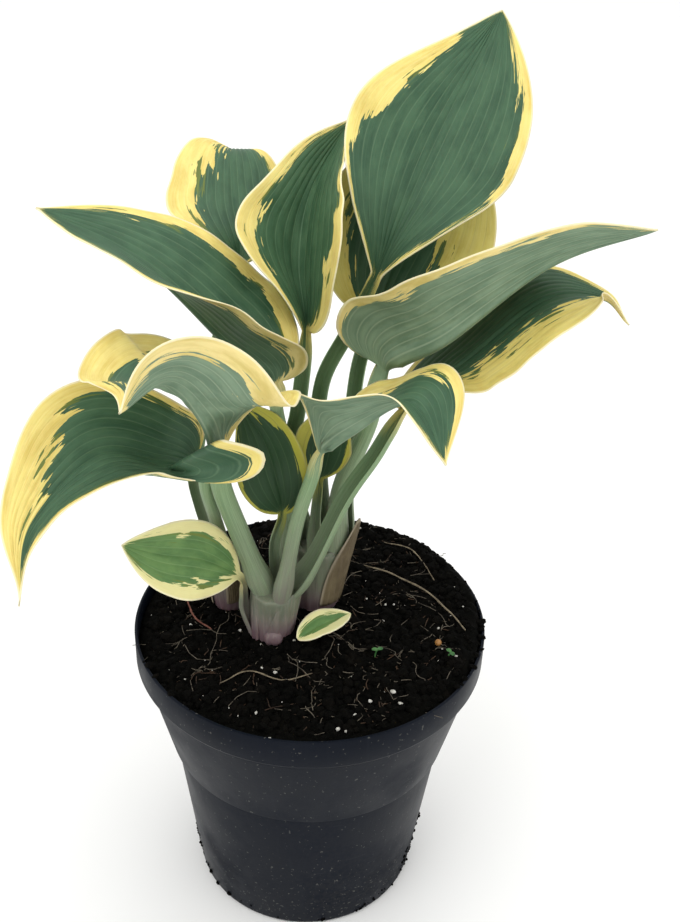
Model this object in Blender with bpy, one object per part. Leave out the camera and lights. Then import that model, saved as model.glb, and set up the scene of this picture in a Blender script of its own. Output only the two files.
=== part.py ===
"""Potted hosta: a young variegated hosta in a 13 cm nursery pot.

Every length below is in millimetres and every angle in degrees; scaled() turns them into metres.
The pot stands on z = 0 with its axis on z, and the plant's best side faces -y.
"""
import math

import bmesh
import bpy
import numpy as np
from mathutils import noise, Vector

MM = 0.001
GAP = 0.3  # clearance between two pieces that touch

# Pot ------------------------------------------------------------------------------------------
POT_HEIGHT = 120.0
RIM_RADIUS = 65.0
RIM_BOTTOM = 108.0  # the straight rim runs from here to the top
COLLAR_TOP_RADIUS = 62.6
COLLAR_BOTTOM = 69.5  # the collar steps in to the lower body here
COLLAR_BOTTOM_RADIUS = 53.8
BODY_TOP_RADIUS = 52.2
FOOT_RADIUS = 44.0
FOOT_ROUND = 2.0
WALL = 1.2
FLOOR = 1.6
POT_SEGMENTS = 48
DRAIN_HOLES = 8
DRAIN_RADIUS = 4.5
DRAIN_CIRCLE = 31.0

# Soil -----------------------------------------------------------------------------------------
SOIL_FRONT = 116.5  # surface height at the front left
SOIL_RISE = 7.5  # how much higher it is heaped at the back right
SOIL_HEAP_TOWARDS = (0.62, 0.78)
SOIL_RINGS = 9
SOIL_LUMP = 1.3

# Crown: shoots stand in the soil on one rootstock ---------------------------------------------
ROOT_TOP = 104.0
ROOT_DEPTH = 9.0
SHOOT_SIDES = 16
SHOOT_MIDDLES = (116.0, 130.0)  # heights of the sections between a shoot's foot and its head

# name: (foot centre x, y), (head centre x, y, z), foot radii, head radii
SHOOTS = {
    "shoot_front": ((-15.5, -6.0), (-12.5, -5.0, 139.0), (6.3, 6.0), (9.3, 11.0)),
    "shoot_left": ((-31.0, 12.0), (-32.2, 9.3, 138.0), (4.5, 5.0), (6.3, 8.0)),
    "shoot_right": ((0.5, 10.0), (4.0, 11.5, 147.0), (6.5, 6.0), (10.5, 9.3)),
}

SHEET_THICKNESS = 0.9  # blades and bract

BRACT_BOTTOM = 123.0
BRACT_TOP = 158.0
BRACT_TURN = -25.0  # the way it faces, from +x
BRACT_HALF_TURN = 55.0
BRACT_ROWS = 9

# Leaves ---------------------------------------------------------------------------------------
STALK_SIDES = 10
STALK_FOOT = 3.0  # half width of a stalk where it leaves its shoot
STALK_NECK = 2.6  # half width of a stalk where its blade begins
STALK_END_GAP = 0.5  # clearance between a stalk's end and its blade
GROOVE = 0.45  # the channel's depth, as a share of the half width


def leaf(stalk, rib, face, half, **shape):
    """One leaf: points up its stalk, points along its midrib, the way its upper side faces at the
    base, and half its width. The rest says how the blade is cut and folded, from base to tip:
    widest: where along the midrib it is widest; base, tip: how blunt (small) or drawn out (large)
    each end is; left, right: shares of the half width; fold_*: how far each half is lifted from
    flat; curl_*: how much further it turns by its edge; lobe: how far back the base reaches."""
    spec = dict(stalk=stalk, rib=rib, face=face, half=half, widest=0.42, base=0.7, tip=1.0,
                left=(1,), right=(1,), fold_left=(20,), fold_right=(20,), curl_left=(0,),
                curl_right=(0,), lobe=(0.08, 0.08), foot=STALK_FOOT, neck=STALK_NECK)
    spec.update(shape)
    return spec


LEAVES = {
    "back_tall": leaf(
        [(4, 15, 147.3), (1, 17, 187), (2, 18, 210), (10, 20, 228)],
        [(18, 25, 244), (27, 34, 265), (39, 50, 290), (58, 72, 324)],
        (0, -0.85, 0.53), 31, widest=0.5, base=1.15, tip=0.85, left=(1.1, 0.98, 0.6),
        right=(0.8, 0.95, 1.15), fold_left=(35, 14, 8), fold_right=(35, 10, 5), lobe=(0, 0)),
    "back_middle": leaf(
        [(-3, 11.5, 147.3), (-8.5, 8, 186), (-6, 8, 204)],
        [(-4, 14, 231), (-7, 26, 251), (-4, 41.5, 270), (9, 58.5, 290)],
        (-0.1, -0.85, 0.5), 24, widest=0.38, tip=1.03, left=(0.98, 1.25, 0.82, 1),
        right=(1, 1.25, 0.93), fold_left=(88, 52, 29), fold_right=(50, 58, 50),
        lobe=(0.06, 0.12)),
    "back_left": leaf(
        [(-34, 12.5, 138.3), (-41, 14, 159), (-43, 16, 178), (-36, 22, 215)],
        [(-27, 26.5, 249), (-31, 45, 265), (-33, 65, 275), (-33, 86, 264)],
        (0.1, -0.8, 0.5), 25, widest=0.4, base=0.8, tip=0.9, left=(1.3, 0.82, 0.45),
        right=(1, 0.77, 0.45), fold_left=(35, 8, 45), fold_right=(14, -15, 20),
        lobe=(0.05, 0.05)),
    "back_low": leaf(
        [(11.2, 14, 147.3), (12, 19, 180), (14, 24, 211)],
        [(19, 29, 229), (26, 41, 247), (36, 60, 265), (44, 85, 283)],
        (0, -0.8, 0.5), 29, widest=0.38, left=(1.25, 1.1, 1), right=(1.07,),
        fold_left=(25,), fold_right=(11,)),
    "left_long": leaf(
        [(-9, 3, 139.3), (-9, 5, 169), (-11, 3, 195), (-13, 0, 210)],
        [(-13, -4, 221), (-28.5, -10, 239), (-53, -10.5, 263.5), (-85, -5, 278)],
        (0, 0, 1), 29, base=0.57, tip=1.05, left=(1.05, 0.75, 0.65), right=(1.3, 1.07, 1.25),
        fold_left=(58, 29, -10, -30), fold_right=(65, 49, 42, 48), lobe=(0.11, 0.17)),
    "left_nodding": leaf(
        [(-17, -8.5, 139.3), (-25, -13.5, 168), (-29.5, -21.5, 191)],
        [(-29, -31.5, 210.5), (-32, -46.5, 233), (-38.8, -64.9, 252.4), (-48.3, -81.8, 252.2)],
        (0, 0.3, 1), 33, widest=0.3, base=0.4, tip=1.09, left=(0.38, 0.9, 1.03, 1.18),
        right=(1.29, 1.23, 1.28, 1.38), fold_left=(56, -2, 87), fold_right=(81, 46, 4, -10),
        lobe=(0, 0), foot=3.8, neck=3.3),
    "left_drooping": leaf(
        [(-30.5, 6, 138.3), (-33.5, -5, 165), (-35.5, -16, 187), (-34, -22, 199)],
        [(-37, -26, 202), (-48.6, -24, 202), (-67, -34, 208.5), (-83.6, -55, 196.5),
         (-85.5, -70, 177.5)],
        (0, -0.3, 1), 27.7, base=0.32, tip=1.56, left=(1.9, 0.75, 0.5, 0.45),
        right=(0.76, 0.9, 0.66, 0.5), fold_left=(36, 10, 22, 29), fold_right=(48, 20, 8),
        curl_left=(69, 18, 25), lobe=(0.6, 0.15), neck=2.2),
    "right_nodding": leaf(
        [(-10, -12.5, 139.3), (-5, -16, 173), (0, -19, 194)],
        [(3, -22, 206), (12, -29.5, 218.5), (29, -39.5, 234.5), (40, -52.5, 221.5)],
        (0, 0, 1), 25, widest=0.35, base=0.5, left=(1.2, 1.22, 1.1), right=(0.6, 0.94, 0.6, 0.5),
        fold_left=(30, 15, 10), fold_right=(85, 31, 14), lobe=(0.15, 0)),
    "right_long": leaf(
        [(8, 8, 147.3), (10, 9.5, 172), (18, 9.6, 197.6)],
        [(23, 2, 224), (41.5, -5.5, 240), (70.5, -9.7, 267.5), (100, -13, 281)],
        (0, 0.15, 1), 29, widest=0.4, base=0.4, tip=1.0, right=(1.26, 0.9, 0.65, 0.9),
        fold_left=(34, 23, 15), fold_right=(80, 47, 43), lobe=(0.1, 0.25), foot=3.3,
        neck=3.5),
    "right_low": leaf(
        [(-6.5, -8, 139.3), (1, -8, 153), (11, -8, 179), (20, -7, 195)],
        [(30, -3, 211), (51, 1.3, 230.2), (72.4, 1.3, 250.8), (90.5, 2.5, 251.7),
         (97.7, -7.6, 247.5)],
        (0, -0.3, 0.95), 29, base=0.85, left=(1.2, 0.72, 0.84, 0.16),
        right=(0.88, 0.81, 1.03, 1.1), fold_left=(-20,), fold_right=(80, 25, 32, 77),
        lobe=(0.14, 0)),
    "centre_small": leaf(
        [(-12, -2.8, 139.3), (-13, -8, 158)],
        [(-10, -10.5, 174), (-12.5, -11.5, 190), (-17, -5.5, 200), (-26, 5, 208)],
        (0, -0.6, 0.8), 13, right=(0.75, 0.95, 1.1), lobe=(0.1, 0.1), foot=2.0, neck=1.8),
    "inner_small": leaf(
        [(0.3, 5.6, 147.3), (1, 3.5, 165)],
        [(2, 2, 180), (3, 2, 196), (10, 6, 210)],
        (0, -0.8, 0.5), 11, widest=0.45, fold_left=(25,), fold_right=(25,), lobe=(0, 0),
        foot=2.2, neck=1.6),
    "low_small": leaf(
        [(-24.2, -7.5, 131), (-24, -9.5, 139)],
        [(-25, -12, 147), (-37, -20, 160), (-50, -26, 166), (-62, -30, 172)],
        (0, -0.65, 0.75), 13, widest=0.5, base=0.8, tip=0.8, left=(1.15,), fold_left=(10,),
        fold_right=(10,), lobe=(0, 0), foot=2.0, neck=1.6),
    "on_soil": leaf(
        [],
        [(-4, -15.5, 121.9), (4, -9, 123.4), (15, 2, 120.4)],
        (0, -0.3, 0.95), 5.5, widest=0.4, base=0.6, tip=0.9, lobe=(0, 0), neck=1.0),
}

# Small things on the soil ---------------------------------------------------------------------
STRAND_SEAT = 0.45  # clearance above the soil, enough to clear its facets
GRANULE_RADIUS = 1.5
GRANULE_PLACE = (47.0, -14.0)

# name: points (x, y), radius, colour
STRANDS = {
    "root_strand_long": ([(20, 29), (32, 22), (44, 14), (52, 2), (57, -8)], 0.7, (0.3, 0.2, 0.1)),
    "root_strand_back": ([(28, 44), (38, 38), (44, 28), (47, 20)], 0.5, (0.25, 0.17, 0.1)),
    "root_strand_front": ([(-30, -36), (-20, -30), (-8, -34), (2, -30)], 0.5, (0.2, 0.13, 0.08)),
    "twig_left": ([(-47, 8), (-43, -2), (-36, -9)], 0.7, (0.25, 0.1, 0.06)),
}


# Curves and frames ----------------------------------------------------------------------------
def smooth_path(points, steps=40):
    """A finely stepped smooth curve through the points, and where each point lies on it."""
    pts = np.array(points, float)
    ends = np.vstack([2 * pts[0] - pts[1], pts, 2 * pts[-1] - pts[-2]])
    t = (np.arange(steps) / steps)[:, None]
    runs = []
    for a, b, c, d in zip(ends, ends[1:], ends[2:], ends[3:]):
        runs.append(0.5 * (2 * b + (c - a) * t + (2 * a - 5 * b + 4 * c - d) * t ** 2
                           + (3 * b - a - 3 * c + d) * t ** 3))
    return np.vstack(runs + [pts[-1:]]), np.arange(len(pts)) * steps


def even(path, count):
    """The path again, in equal steps."""
    run = np.r_[0, np.cumsum(np.linalg.norm(np.diff(path, axis=0), axis=1))]
    at = np.linspace(0, run[-1], count)
    return np.stack([np.interp(at, run, path[:, axis]) for axis in range(3)], -1), run[-1]


def unit(vector):
    return vector / np.linalg.norm(vector, axis=-1, keepdims=True)


def frames(path, face):
    """Along, side and up directions; up starts nearest to face and turns as little as it can."""
    along = unit(np.gradient(path, axis=0))
    up = np.zeros_like(along)
    current = np.array(face, float)
    for i, direction in enumerate(along):
        current = unit(current - (current @ direction) * direction)
        up[i] = current
    return along, np.cross(along, up), up


def blend(u, values):
    """Values spread evenly from 0 to 1 and eased from one to the next."""
    values = np.array(values, float)
    if len(values) == 1:
        return np.full_like(u, values[0])
    stops = np.linspace(0, 1, len(values))
    i = np.clip(np.searchsorted(stops, u) - 1, 0, len(values) - 2)
    t = (u - stops[i]) / (stops[i + 1] - stops[i])
    t = t * t * (3 - 2 * t)
    return values[i] * (1 - t) + values[i + 1] * t


def leaf_paths(spec):
    """The stalk's path and the midrib's path, cut from one smooth curve."""
    path, stops = smooth_path(spec["stalk"] + spec["rib"])
    cut = stops[len(spec["stalk"])]
    return path[:cut + 1], path[cut:]


# Meshes ---------------------------------------------------------------------------------------
def scaled(points):
    return [Vector(p) * MM for p in points]


def new_object(name, bm, colour, roughness):
    bmesh.ops.recalc_face_normals(bm, faces=bm.faces)
    mesh = bpy.data.meshes.new(name)
    bm.to_mesh(mesh)
    bm.free()
    mesh.shade_smooth()
    mesh.set_sharp_from_angle(angle=math.radians(40))
    obj = bpy.data.objects.new(name, mesh)
    bpy.context.collection.objects.link(obj)
    material = bpy.data.materials.new(name)
    material.use_nodes = True
    shader = material.node_tree.nodes["Principled BSDF"]
    shader.inputs["Base Color"].default_value = (*colour, 1)
    shader.inputs["Roughness"].default_value = roughness
    mesh.materials.append(material)
    return obj


def skin_rings(rings):
    """A closed body from rings of points that all have the same count."""
    bm = bmesh.new()
    rows = [[bm.verts.new(p) for p in scaled(ring)] for ring in rings]
    count = len(rows[0])
    for low, high in zip(rows, rows[1:]):
        for i in range(count):
            j = (i + 1) % count
            bm.faces.new((low[i], low[j], high[j], high[i]))
    bm.faces.new(rows[0][::-1])
    bm.faces.new(rows[-1])
    return bm


def ellipse(centre, radii, z, sides=SHOOT_SIDES, grow=0.0):
    turn = np.arange(sides) * 2 * math.pi / sides
    x = centre[0] + (radii[0] + grow) * np.cos(turn)
    y = centre[1] + (radii[1] + grow) * np.sin(turn)
    return [(a, b, z) for a, b in zip(x, y)]


def blade_grid(spec, length_steps, side_steps):
    """Points over the blade: rows from base to tip, columns from left edge to right edge."""
    rib = leaf_paths(spec)[1]
    path, length = even(rib, length_steps + 1)
    along, side, up = frames(path, spec["face"])
    u = np.linspace(0, 1, length_steps + 1)
    rise = np.where(u < spec["widest"], u / spec["widest"], (1 - u) / (1 - spec["widest"]))
    ends = np.where(u < spec["widest"], spec["base"], spec["tip"])
    width = spec["half"] * np.sin(math.pi / 2 * np.clip(rise, 0, 1)) ** ends
    width = np.maximum(width, spec["neck"] * (1 - u) ** 6)
    width[-1] = 0.3
    grid = np.zeros((length_steps + 1, 2 * side_steps + 1, 3))
    grid[:, side_steps] = path
    halves = ((-1, "left", 0), (1, "right", 1))
    for sign, word, index in halves:
        half_width = width * blend(u, spec[word])
        fold = np.radians(blend(u, spec["fold_" + word]))
        curl = np.radians(blend(u, spec["curl_" + word]))
        out = np.zeros_like(u)
        lift = np.zeros_like(u)
        for j in range(1, side_steps + 1):
            angle = fold + curl * (j - 0.5) / side_steps
            out = out + np.cos(angle) * half_width / side_steps
            lift = lift + np.sin(angle) * half_width / side_steps
            v = j / side_steps
            back = spec["lobe"][index] * length * v * v * (1 - u) ** 3 * u / (u + 0.04)
            grid[:, side_steps + sign * j] = (path + sign * side * out[:, None]
                                              + up * lift[:, None] - along * back[:, None])
    return grid


def make_sheet(name, grid, colour):
    """A thin body of even thickness through a grid of points."""
    bm = bmesh.new()
    rows = [[bm.verts.new(p) for p in scaled(row)] for row in grid]
    for low, high in zip(rows, rows[1:]):
        for i in range(len(low) - 1):
            bm.faces.new((low[i], low[i + 1], high[i + 1], high[i]))
    obj = new_object(name, bm, colour, 0.5)
    solidify = obj.modifiers.new("thickness", "SOLIDIFY")
    solidify.thickness = SHEET_THICKNESS * MM
    solidify.offset = 0
    solidify.use_even_offset = True
    return obj


def make_bract():
    """A papery scale wrapped round the right shoot, ending in a point beside its head."""
    reach = GAP + SHEET_THICKNESS / 2
    grid = []
    for step in range(BRACT_ROWS + 1):
        share = step / BRACT_ROWS
        z = BRACT_BOTTOM + (BRACT_TOP - BRACT_BOTTOM) * share
        centre, radii = shoot_section(SHOOTS["shoot_right"], z)
        half_turn = BRACT_HALF_TURN * max(1 - share ** 2, 0.02)
        turns = np.radians(BRACT_TURN + half_turn * np.linspace(-1, 1, 9))
        grid.append([(centre[0] + (radii[0] + reach) * math.cos(turn),
                      centre[1] + (radii[1] + reach) * math.sin(turn), z) for turn in turns])
    return make_sheet("shoot_bract", grid, (0.25, 0.19, 0.11))


def make_blade(name, spec):
    small = spec["half"] < 15
    grid = blade_grid(spec, 9 if small else 13, 2 if small else 4)
    return make_sheet("blade_" + name, grid, (0.06, 0.15, 0.09))


def make_stalk(name, spec):
    """A channelled stalk, a short gap short of its blade."""
    fine = leaf_paths(spec)[0]
    whole = even(fine, max(6, int(len(fine) / 10)))[0]
    end = whole[-1] - unit(whole[-1] - whole[-2]) * STALK_END_GAP
    path = np.vstack([whole[:-1], end])
    side, up = [rows[::-1] for rows in frames(path[::-1], spec["face"])[1:]]
    rings = []
    for i, centre in enumerate(path):
        share = i / (len(path) - 1)
        radius = spec["foot"] * (1 - share) + spec["neck"] * share
        ring = []
        for k in range(STALK_SIDES):
            turn = math.pi / 2 + 2 * math.pi * k / STALK_SIDES
            reach = radius * (1 - GROOVE * share ** 0.5 if k == 0 else 1)
            ring.append(centre + side[i] * reach * math.cos(turn)
                        + up[i] * 0.8 * reach * math.sin(turn))
        rings.append(ring)
    rings[0] = [(p[0], p[1], spec["stalk"][0][2]) for p in rings[0]]
    return new_object("stalk_" + name, skin_rings(rings), (0.22, 0.36, 0.22), 0.5)


def shoot_section(spec, z):
    """A shoot's centre and its two radii at a height."""
    foot, head, foot_radii, head_radii = spec
    level = (z - ROOT_TOP) / (head[2] - ROOT_TOP)
    swell = max(level, 0) ** 1.4
    centre = [foot[axis] + (head[axis] - foot[axis]) * level for axis in (0, 1)]
    radii = [foot_radii[axis] + (head_radii[axis] - foot_radii[axis]) * swell
             for axis in (0, 1)]
    return centre, radii


def shoot_rings(spec, bottom=ROOT_TOP + GAP, grow=0.0):
    heights = [bottom, *SHOOT_MIDDLES, spec[1][2]]
    return [ellipse(*shoot_section(spec, z), z, grow=grow) for z in heights]


def rootstock_rings(grow=0.0):
    """A knobbly bar under the three shoots."""
    centres = ((-38, 14), (-31, 12), (-21, 3), (-12, -5), (-3, 3), (6, 12), (15, 13))
    radii = (2.5, 6.5, 5.5, 8.0, 6.0, 8.0, 3.0)
    rings = []
    for (x, y), radius in zip(centres, radii):
        ring = []
        for k in range(10):
            turn = 2 * math.pi * k / 10
            height = ROOT_TOP - ROOT_DEPTH / 2 + (ROOT_DEPTH / 2 + grow) * math.sin(turn)
            ring.append((x, y + (radius + grow) * math.cos(turn), height))
        rings.append(ring)
    rings[0] = [(p[0] - grow, p[1], p[2]) for p in rings[0]]
    rings[-1] = [(p[0] + grow, p[1], p[2]) for p in rings[-1]]
    return rings


def cut(target, bm, name):
    """Take the body in bm out of the target."""
    cutter = new_object(name, bm, (1, 0, 0), 1)
    cutter.hide_render = True
    cutter.display_type = "WIRE"
    modifier = target.modifiers.new(name, "BOOLEAN")
    modifier.operation = "DIFFERENCE"
    modifier.object = cutter


# Pot ------------------------------------------------------------------------------------------
def pot_outline():
    """The pot's outline from the middle of its base up to the rim, as (radius, height)."""
    return [(FOOT_RADIUS - FOOT_ROUND, 0), (FOOT_RADIUS - 0.5, 0.6), (FOOT_RADIUS, FOOT_ROUND),
            (BODY_TOP_RADIUS, COLLAR_BOTTOM - 0.8), (COLLAR_BOTTOM_RADIUS, COLLAR_BOTTOM + 0.4),
            (COLLAR_TOP_RADIUS, RIM_BOTTOM - 1.2), (RIM_RADIUS, RIM_BOTTOM + 0.6),
            (RIM_RADIUS, POT_HEIGHT - 0.5), (RIM_RADIUS - 0.4, POT_HEIGHT)]


def pot_inside():
    """The inner wall from the floor up to the rim, as (radius, height)."""
    outline = pot_outline()
    heights = (FLOOR, COLLAR_BOTTOM - 1.2, COLLAR_BOTTOM + 2, RIM_BOTTOM - 1.2,
               RIM_BOTTOM + 2, POT_HEIGHT)
    radii = np.interp(heights, [p[1] for p in outline], [p[0] for p in outline]) - WALL
    return list(zip(radii, heights))


def make_pot():
    profile = [(0, 0)] + pot_outline() + pot_inside()[::-1] + [(0, FLOOR)]
    bm = bmesh.new()
    verts = [bm.verts.new((r * MM, 0, z * MM)) for r, z in profile]
    edges = [bm.edges.new(pair) for pair in zip(verts, verts[1:])]
    bmesh.ops.spin(bm, geom=verts + edges, cent=(0, 0, 0), axis=(0, 0, 1), steps=POT_SEGMENTS,
                   angle=2 * math.pi)
    bmesh.ops.remove_doubles(bm, verts=bm.verts, dist=1e-6)
    pot = new_object("pot", bm, (0.018, 0.022, 0.03), 0.45)
    for i in range(DRAIN_HOLES):
        turn = 2 * math.pi * (i + 0.5) / DRAIN_HOLES
        centre = (DRAIN_CIRCLE * math.cos(turn), DRAIN_CIRCLE * math.sin(turn))
        radii = (DRAIN_RADIUS, DRAIN_RADIUS)
        rings = [ellipse(centre, radii, -1.0, 12), ellipse(centre, radii, FLOOR + 1.0, 12)]
        cut(pot, skin_rings(rings), f"cut_drain_{i + 1}")
    return pot


# Soil -----------------------------------------------------------------------------------------
def soil_height(x, y):
    across = (x * SOIL_HEAP_TOWARDS[0] + y * SOIL_HEAP_TOWARDS[1]) / RIM_RADIUS
    heap = SOIL_RISE * (0.5 + 0.5 * across) ** 1.5
    lumps = SOIL_LUMP * noise.noise(Vector((x / 14, y / 14, 3.7)))
    return SOIL_FRONT + heap + lumps


def make_soil():
    turn = np.arange(POT_SEGMENTS) * 2 * math.pi / POT_SEGMENTS
    wall = pot_inside()
    wall[0] = (wall[0][0], FLOOR + GAP)
    wall[-1] = (wall[-1][0], SOIL_FRONT - 2 * SOIL_LUMP)
    rings = []
    for radius, z in wall:
        reach = radius - GAP
        rings.append([(reach * math.cos(a), reach * math.sin(a), z) for a in turn])
    edge = wall[-1][0] - GAP
    for step in range(SOIL_RINGS):
        radius = edge * (1 - step / SOIL_RINGS)
        ring = [(radius * math.cos(a), radius * math.sin(a)) for a in turn]
        rings.append([(x, y, soil_height(x, y)) for x, y in ring])
    soil = new_object("soil", skin_rings(rings), (0.008, 0.006, 0.005), 0.95)
    for name, spec in SHOOTS.items():
        rings = shoot_rings(spec, bottom=ROOT_TOP - 2, grow=GAP)
        cut(soil, skin_rings(rings), "cut_" + name)
    cut(soil, skin_rings(rootstock_rings(grow=2 * GAP)), "cut_rootstock")
    return soil


# Strands and granule --------------------------------------------------------------------------
def make_strand(name, flat_points, radius, colour):
    """A root or twig lying on the soil, just clear of it."""
    path = even(smooth_path([(x, y, 0) for x, y in flat_points])[0], 14)[0]
    points = [(x, y, soil_height(x, y) + radius + STRAND_SEAT) for x, y, z in path]
    curve = bpy.data.curves.new(name, "CURVE")
    curve.dimensions = "3D"
    curve.bevel_depth = radius * MM
    curve.bevel_resolution = 1
    curve.use_fill_caps = True
    spline = curve.splines.new("POLY")
    spline.points.add(len(points) - 1)
    for point, place in zip(spline.points, scaled(points)):
        point.co = (*place, 1)
    obj = bpy.data.objects.new(name, curve)
    bpy.context.collection.objects.link(obj)
    material = bpy.data.materials.new(name)
    material.use_nodes = True
    shader = material.node_tree.nodes["Principled BSDF"]
    shader.inputs["Base Color"].default_value = (*colour, 1)
    shader.inputs["Roughness"].default_value = 0.8
    curve.materials.append(material)
    return obj


def make_granule():
    """A round feed granule lying on the soil."""
    bm = bmesh.new()
    bmesh.ops.create_icosphere(bm, subdivisions=2, radius=GRANULE_RADIUS * MM)
    x, y = GRANULE_PLACE
    z = soil_height(x, y) + GRANULE_RADIUS + GAP
    bmesh.ops.translate(bm, verts=bm.verts, vec=Vector((x, y, z)) * MM)
    return new_object("feed_granule", bm, (0.45, 0.2, 0.04), 0.4)


def build():
    for obj in list(bpy.data.objects):
        bpy.data.objects.remove(obj)
    make_pot()
    make_soil()
    new_object("rootstock", skin_rings(rootstock_rings()), (0.3, 0.22, 0.15), 0.8)
    for name, spec in SHOOTS.items():
        new_object(name, skin_rings(shoot_rings(spec)), (0.3, 0.24, 0.24), 0.6)
    for name, spec in LEAVES.items():
        make_blade(name, spec)
        if spec["stalk"]:
            make_stalk(name, spec)
    for name, (points, radius, colour) in STRANDS.items():
        make_strand(name, points, radius, colour)
    make_bract()
    make_granule()


build()
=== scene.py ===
"""Potted hosta: the finish and fine shape of every piece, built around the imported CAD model.

Shapes are worked out in millimetres and turned into metres when a mesh is made.
"""
import math

import bmesh
import bpy
import numpy as np
from mathutils import Matrix, Vector, noise


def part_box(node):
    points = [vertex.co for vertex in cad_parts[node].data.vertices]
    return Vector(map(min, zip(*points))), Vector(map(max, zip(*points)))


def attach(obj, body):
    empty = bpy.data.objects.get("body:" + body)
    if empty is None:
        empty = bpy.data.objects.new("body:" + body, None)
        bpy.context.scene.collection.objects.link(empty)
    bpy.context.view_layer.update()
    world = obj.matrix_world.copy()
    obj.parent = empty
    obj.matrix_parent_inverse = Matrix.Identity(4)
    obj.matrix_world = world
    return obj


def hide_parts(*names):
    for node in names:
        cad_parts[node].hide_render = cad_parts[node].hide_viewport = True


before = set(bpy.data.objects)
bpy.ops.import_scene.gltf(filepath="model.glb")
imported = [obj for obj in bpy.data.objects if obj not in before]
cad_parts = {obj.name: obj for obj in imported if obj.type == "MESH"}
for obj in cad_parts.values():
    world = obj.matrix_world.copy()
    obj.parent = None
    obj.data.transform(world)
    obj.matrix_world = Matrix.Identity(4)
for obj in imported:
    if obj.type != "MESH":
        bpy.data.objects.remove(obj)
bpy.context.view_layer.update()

MM = 0.001


def mm(corner):
    """A corner of a box, in millimetres."""
    return np.array(corner) / MM


# --- The pot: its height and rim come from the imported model
RIM_RADIUS, _, POT_HEIGHT = mm(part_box("pot")[1])
RIM_BOTTOM = POT_HEIGHT - 12.0
COLLAR_TOP_RADIUS = 62.6
COLLAR_BOTTOM = 69.5
COLLAR_BOTTOM_RADIUS = 53.8
BODY_TOP_RADIUS = 52.2
FOOT_RADIUS = 44.0
WALL = 1.2
FLOOR = 1.6
POT_SEGMENTS = 192
DRAIN_HOLES = 8
DRAIN_SIDES = 28
DRAIN_RADIUS = 4.5
DRAIN_CIRCLE = 31.0
POT_CREASE = 38.0  # edges of the pot that turn by more degrees than this stay sharp

# --- The soil
SOIL_FRONT = 116.5
SOIL_RISE = 7.5
SOIL_HEAP_TOWARDS = (0.62, 0.78)
SOIL_LUMP, SOIL_LUMP_SIZE = 1.3, 14.0  # height and width of the lumps
SOIL_CRUMB, SOIL_CRUMB_SIZE = 1.5, 4.0  # height and width of the crumbs between them
SOIL_EDGE = 62.8  # how far out the soil reaches inside the rim
SOIL_GAP = 0.3  # between the soil and the pot's wall
SOIL_SINK, SOIL_MARGIN = 1.6, 3.0  # how far the soil falls by the wall, and over what width
ROOT_TOP = 104.0
CROWN_SPOTS = [(-14.5, -6, 9), (-31, 11, 7.5), (2, 11, 9)]  # x, y and radius kept free of crumbs
CRUMB_INSET, THREAD_INSET = 1.5, 7.0  # how far inside the soil's edge crumbs and threads lie

# grains on a square metre, smallest, largest and roughness in metres, seed
CRUMBS = {
    "soil_crumbs": (560000.0, 0.00035, 0.0026, 0.0014, 3),
    "spilled_crumbs": (420000.0, 0.0003, 0.0018, 0.0012, 7),
    "clinging_soil": (300000.0, 0.0002, 0.0011, 0.0009, 8),
    "perlite_grains": (9500.0, 0.00025, 0.001, 0.0005, 12),
}
# threads on a square metre, shortest, longest, thickness, bend and lift in metres, seed
THREADS = {
    "tan_threads": (24000.0, 0.005, 0.03, 0.00013, 0.024, 0.0012, 21),
    "brown_threads": (26000.0, 0.002, 0.011, 0.00018, 0.02, 0.0012, 33),
}
# patches with soil on the rim and on the wall: two turns in degrees, then the (radius, height)
# of the two edges
SPILLED = [(-35, 125, (62.5, POT_HEIGHT - 0.2), (64.7, POT_HEIGHT)),
           (205, 235, (63.2, POT_HEIGHT - 0.2), (64.4, POT_HEIGHT))]
CLINGING = [(185, 355, (43.8, 1.6), (44.1, 2.6)), (-28, 4, (44.0, 2.6), (45.8, 17.0)),
            (-16, 2, (45.8, 17.0), (47.0, 27.0)), (178, 204, (44.6, 8.0), (46.4, 22.0)),
            (188, 214, (44.0, 2.6), (44.6, 7.0)), (226, 244, (44.0, 2.6), (44.3, 4.5)),
            (300, 322, (44.0, 2.6), (44.5, 6.0))]

# name: (foot centre x, y), (head centre x, y, z), foot radii, head radii
SHOOTS = {
    "front": ((-15.5, -6.0), (-12.5, -5.0, 139.0), (6.3, 6.0), (9.3, 11.0)),
    "left": ((-31.0, 12.0), (-32.2, 9.3, 138.0), (4.5, 5.0), (6.3, 8.0)),
    "right": ((0.5, 10.0), (4.0, 11.5, 147.0), (6.5, 6.0), (10.5, 9.3)),
}

SHEATH_ROWS, SHEATH_COLUMNS = 30, 40  # points of a sheath's grid, up and across

# --- Leaves
LARGE_HALF = 15.0  # half width above which a blade counts as large
BLADE_ROWS = (42, 84)  # rows of faces along a small and a large blade
SOLID_ROWS = (9, 13)  # the same in the solid model, whose twist the blade repeats
STALK_STEP = 2.4  # length of one row of faces on a stalk
STALK_ROWS = 6  # fewest rows on a stalk
VEIN_SPACING = 3.6  # between veins where a blade is widest
VEIN_COLUMNS = 4  # columns of faces from one vein to the next
PILLOW = 0.3  # how far the blade swells between two veins
ROOMY = 12.0  # half width from which veins and waves stand out fully
BLADE_THICKNESS = 0.62
EDGE_THICKNESS = 0.3
EDGE_TAPER = 2.5  # how far in from its edge a blade thins
STALK_FOOT = 3.0
STALK_NECK = 2.6
STALK_ROOTED = 6.0  # how far a stalk runs down inside its shoot
STALK_WRAP = math.radians(118)  # how far a stalk's round back reaches each way
STALK_SWELL = (0.32, 11.0, 7.0)  # bulge low on a stalk: its share, its height, its spread
MAUVE_REACH = 60.0  # how far up a stalk the purple climbs
OPENING = (9.0, 15.0)  # where a stalk starts to open, before the base, and over what length
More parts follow.
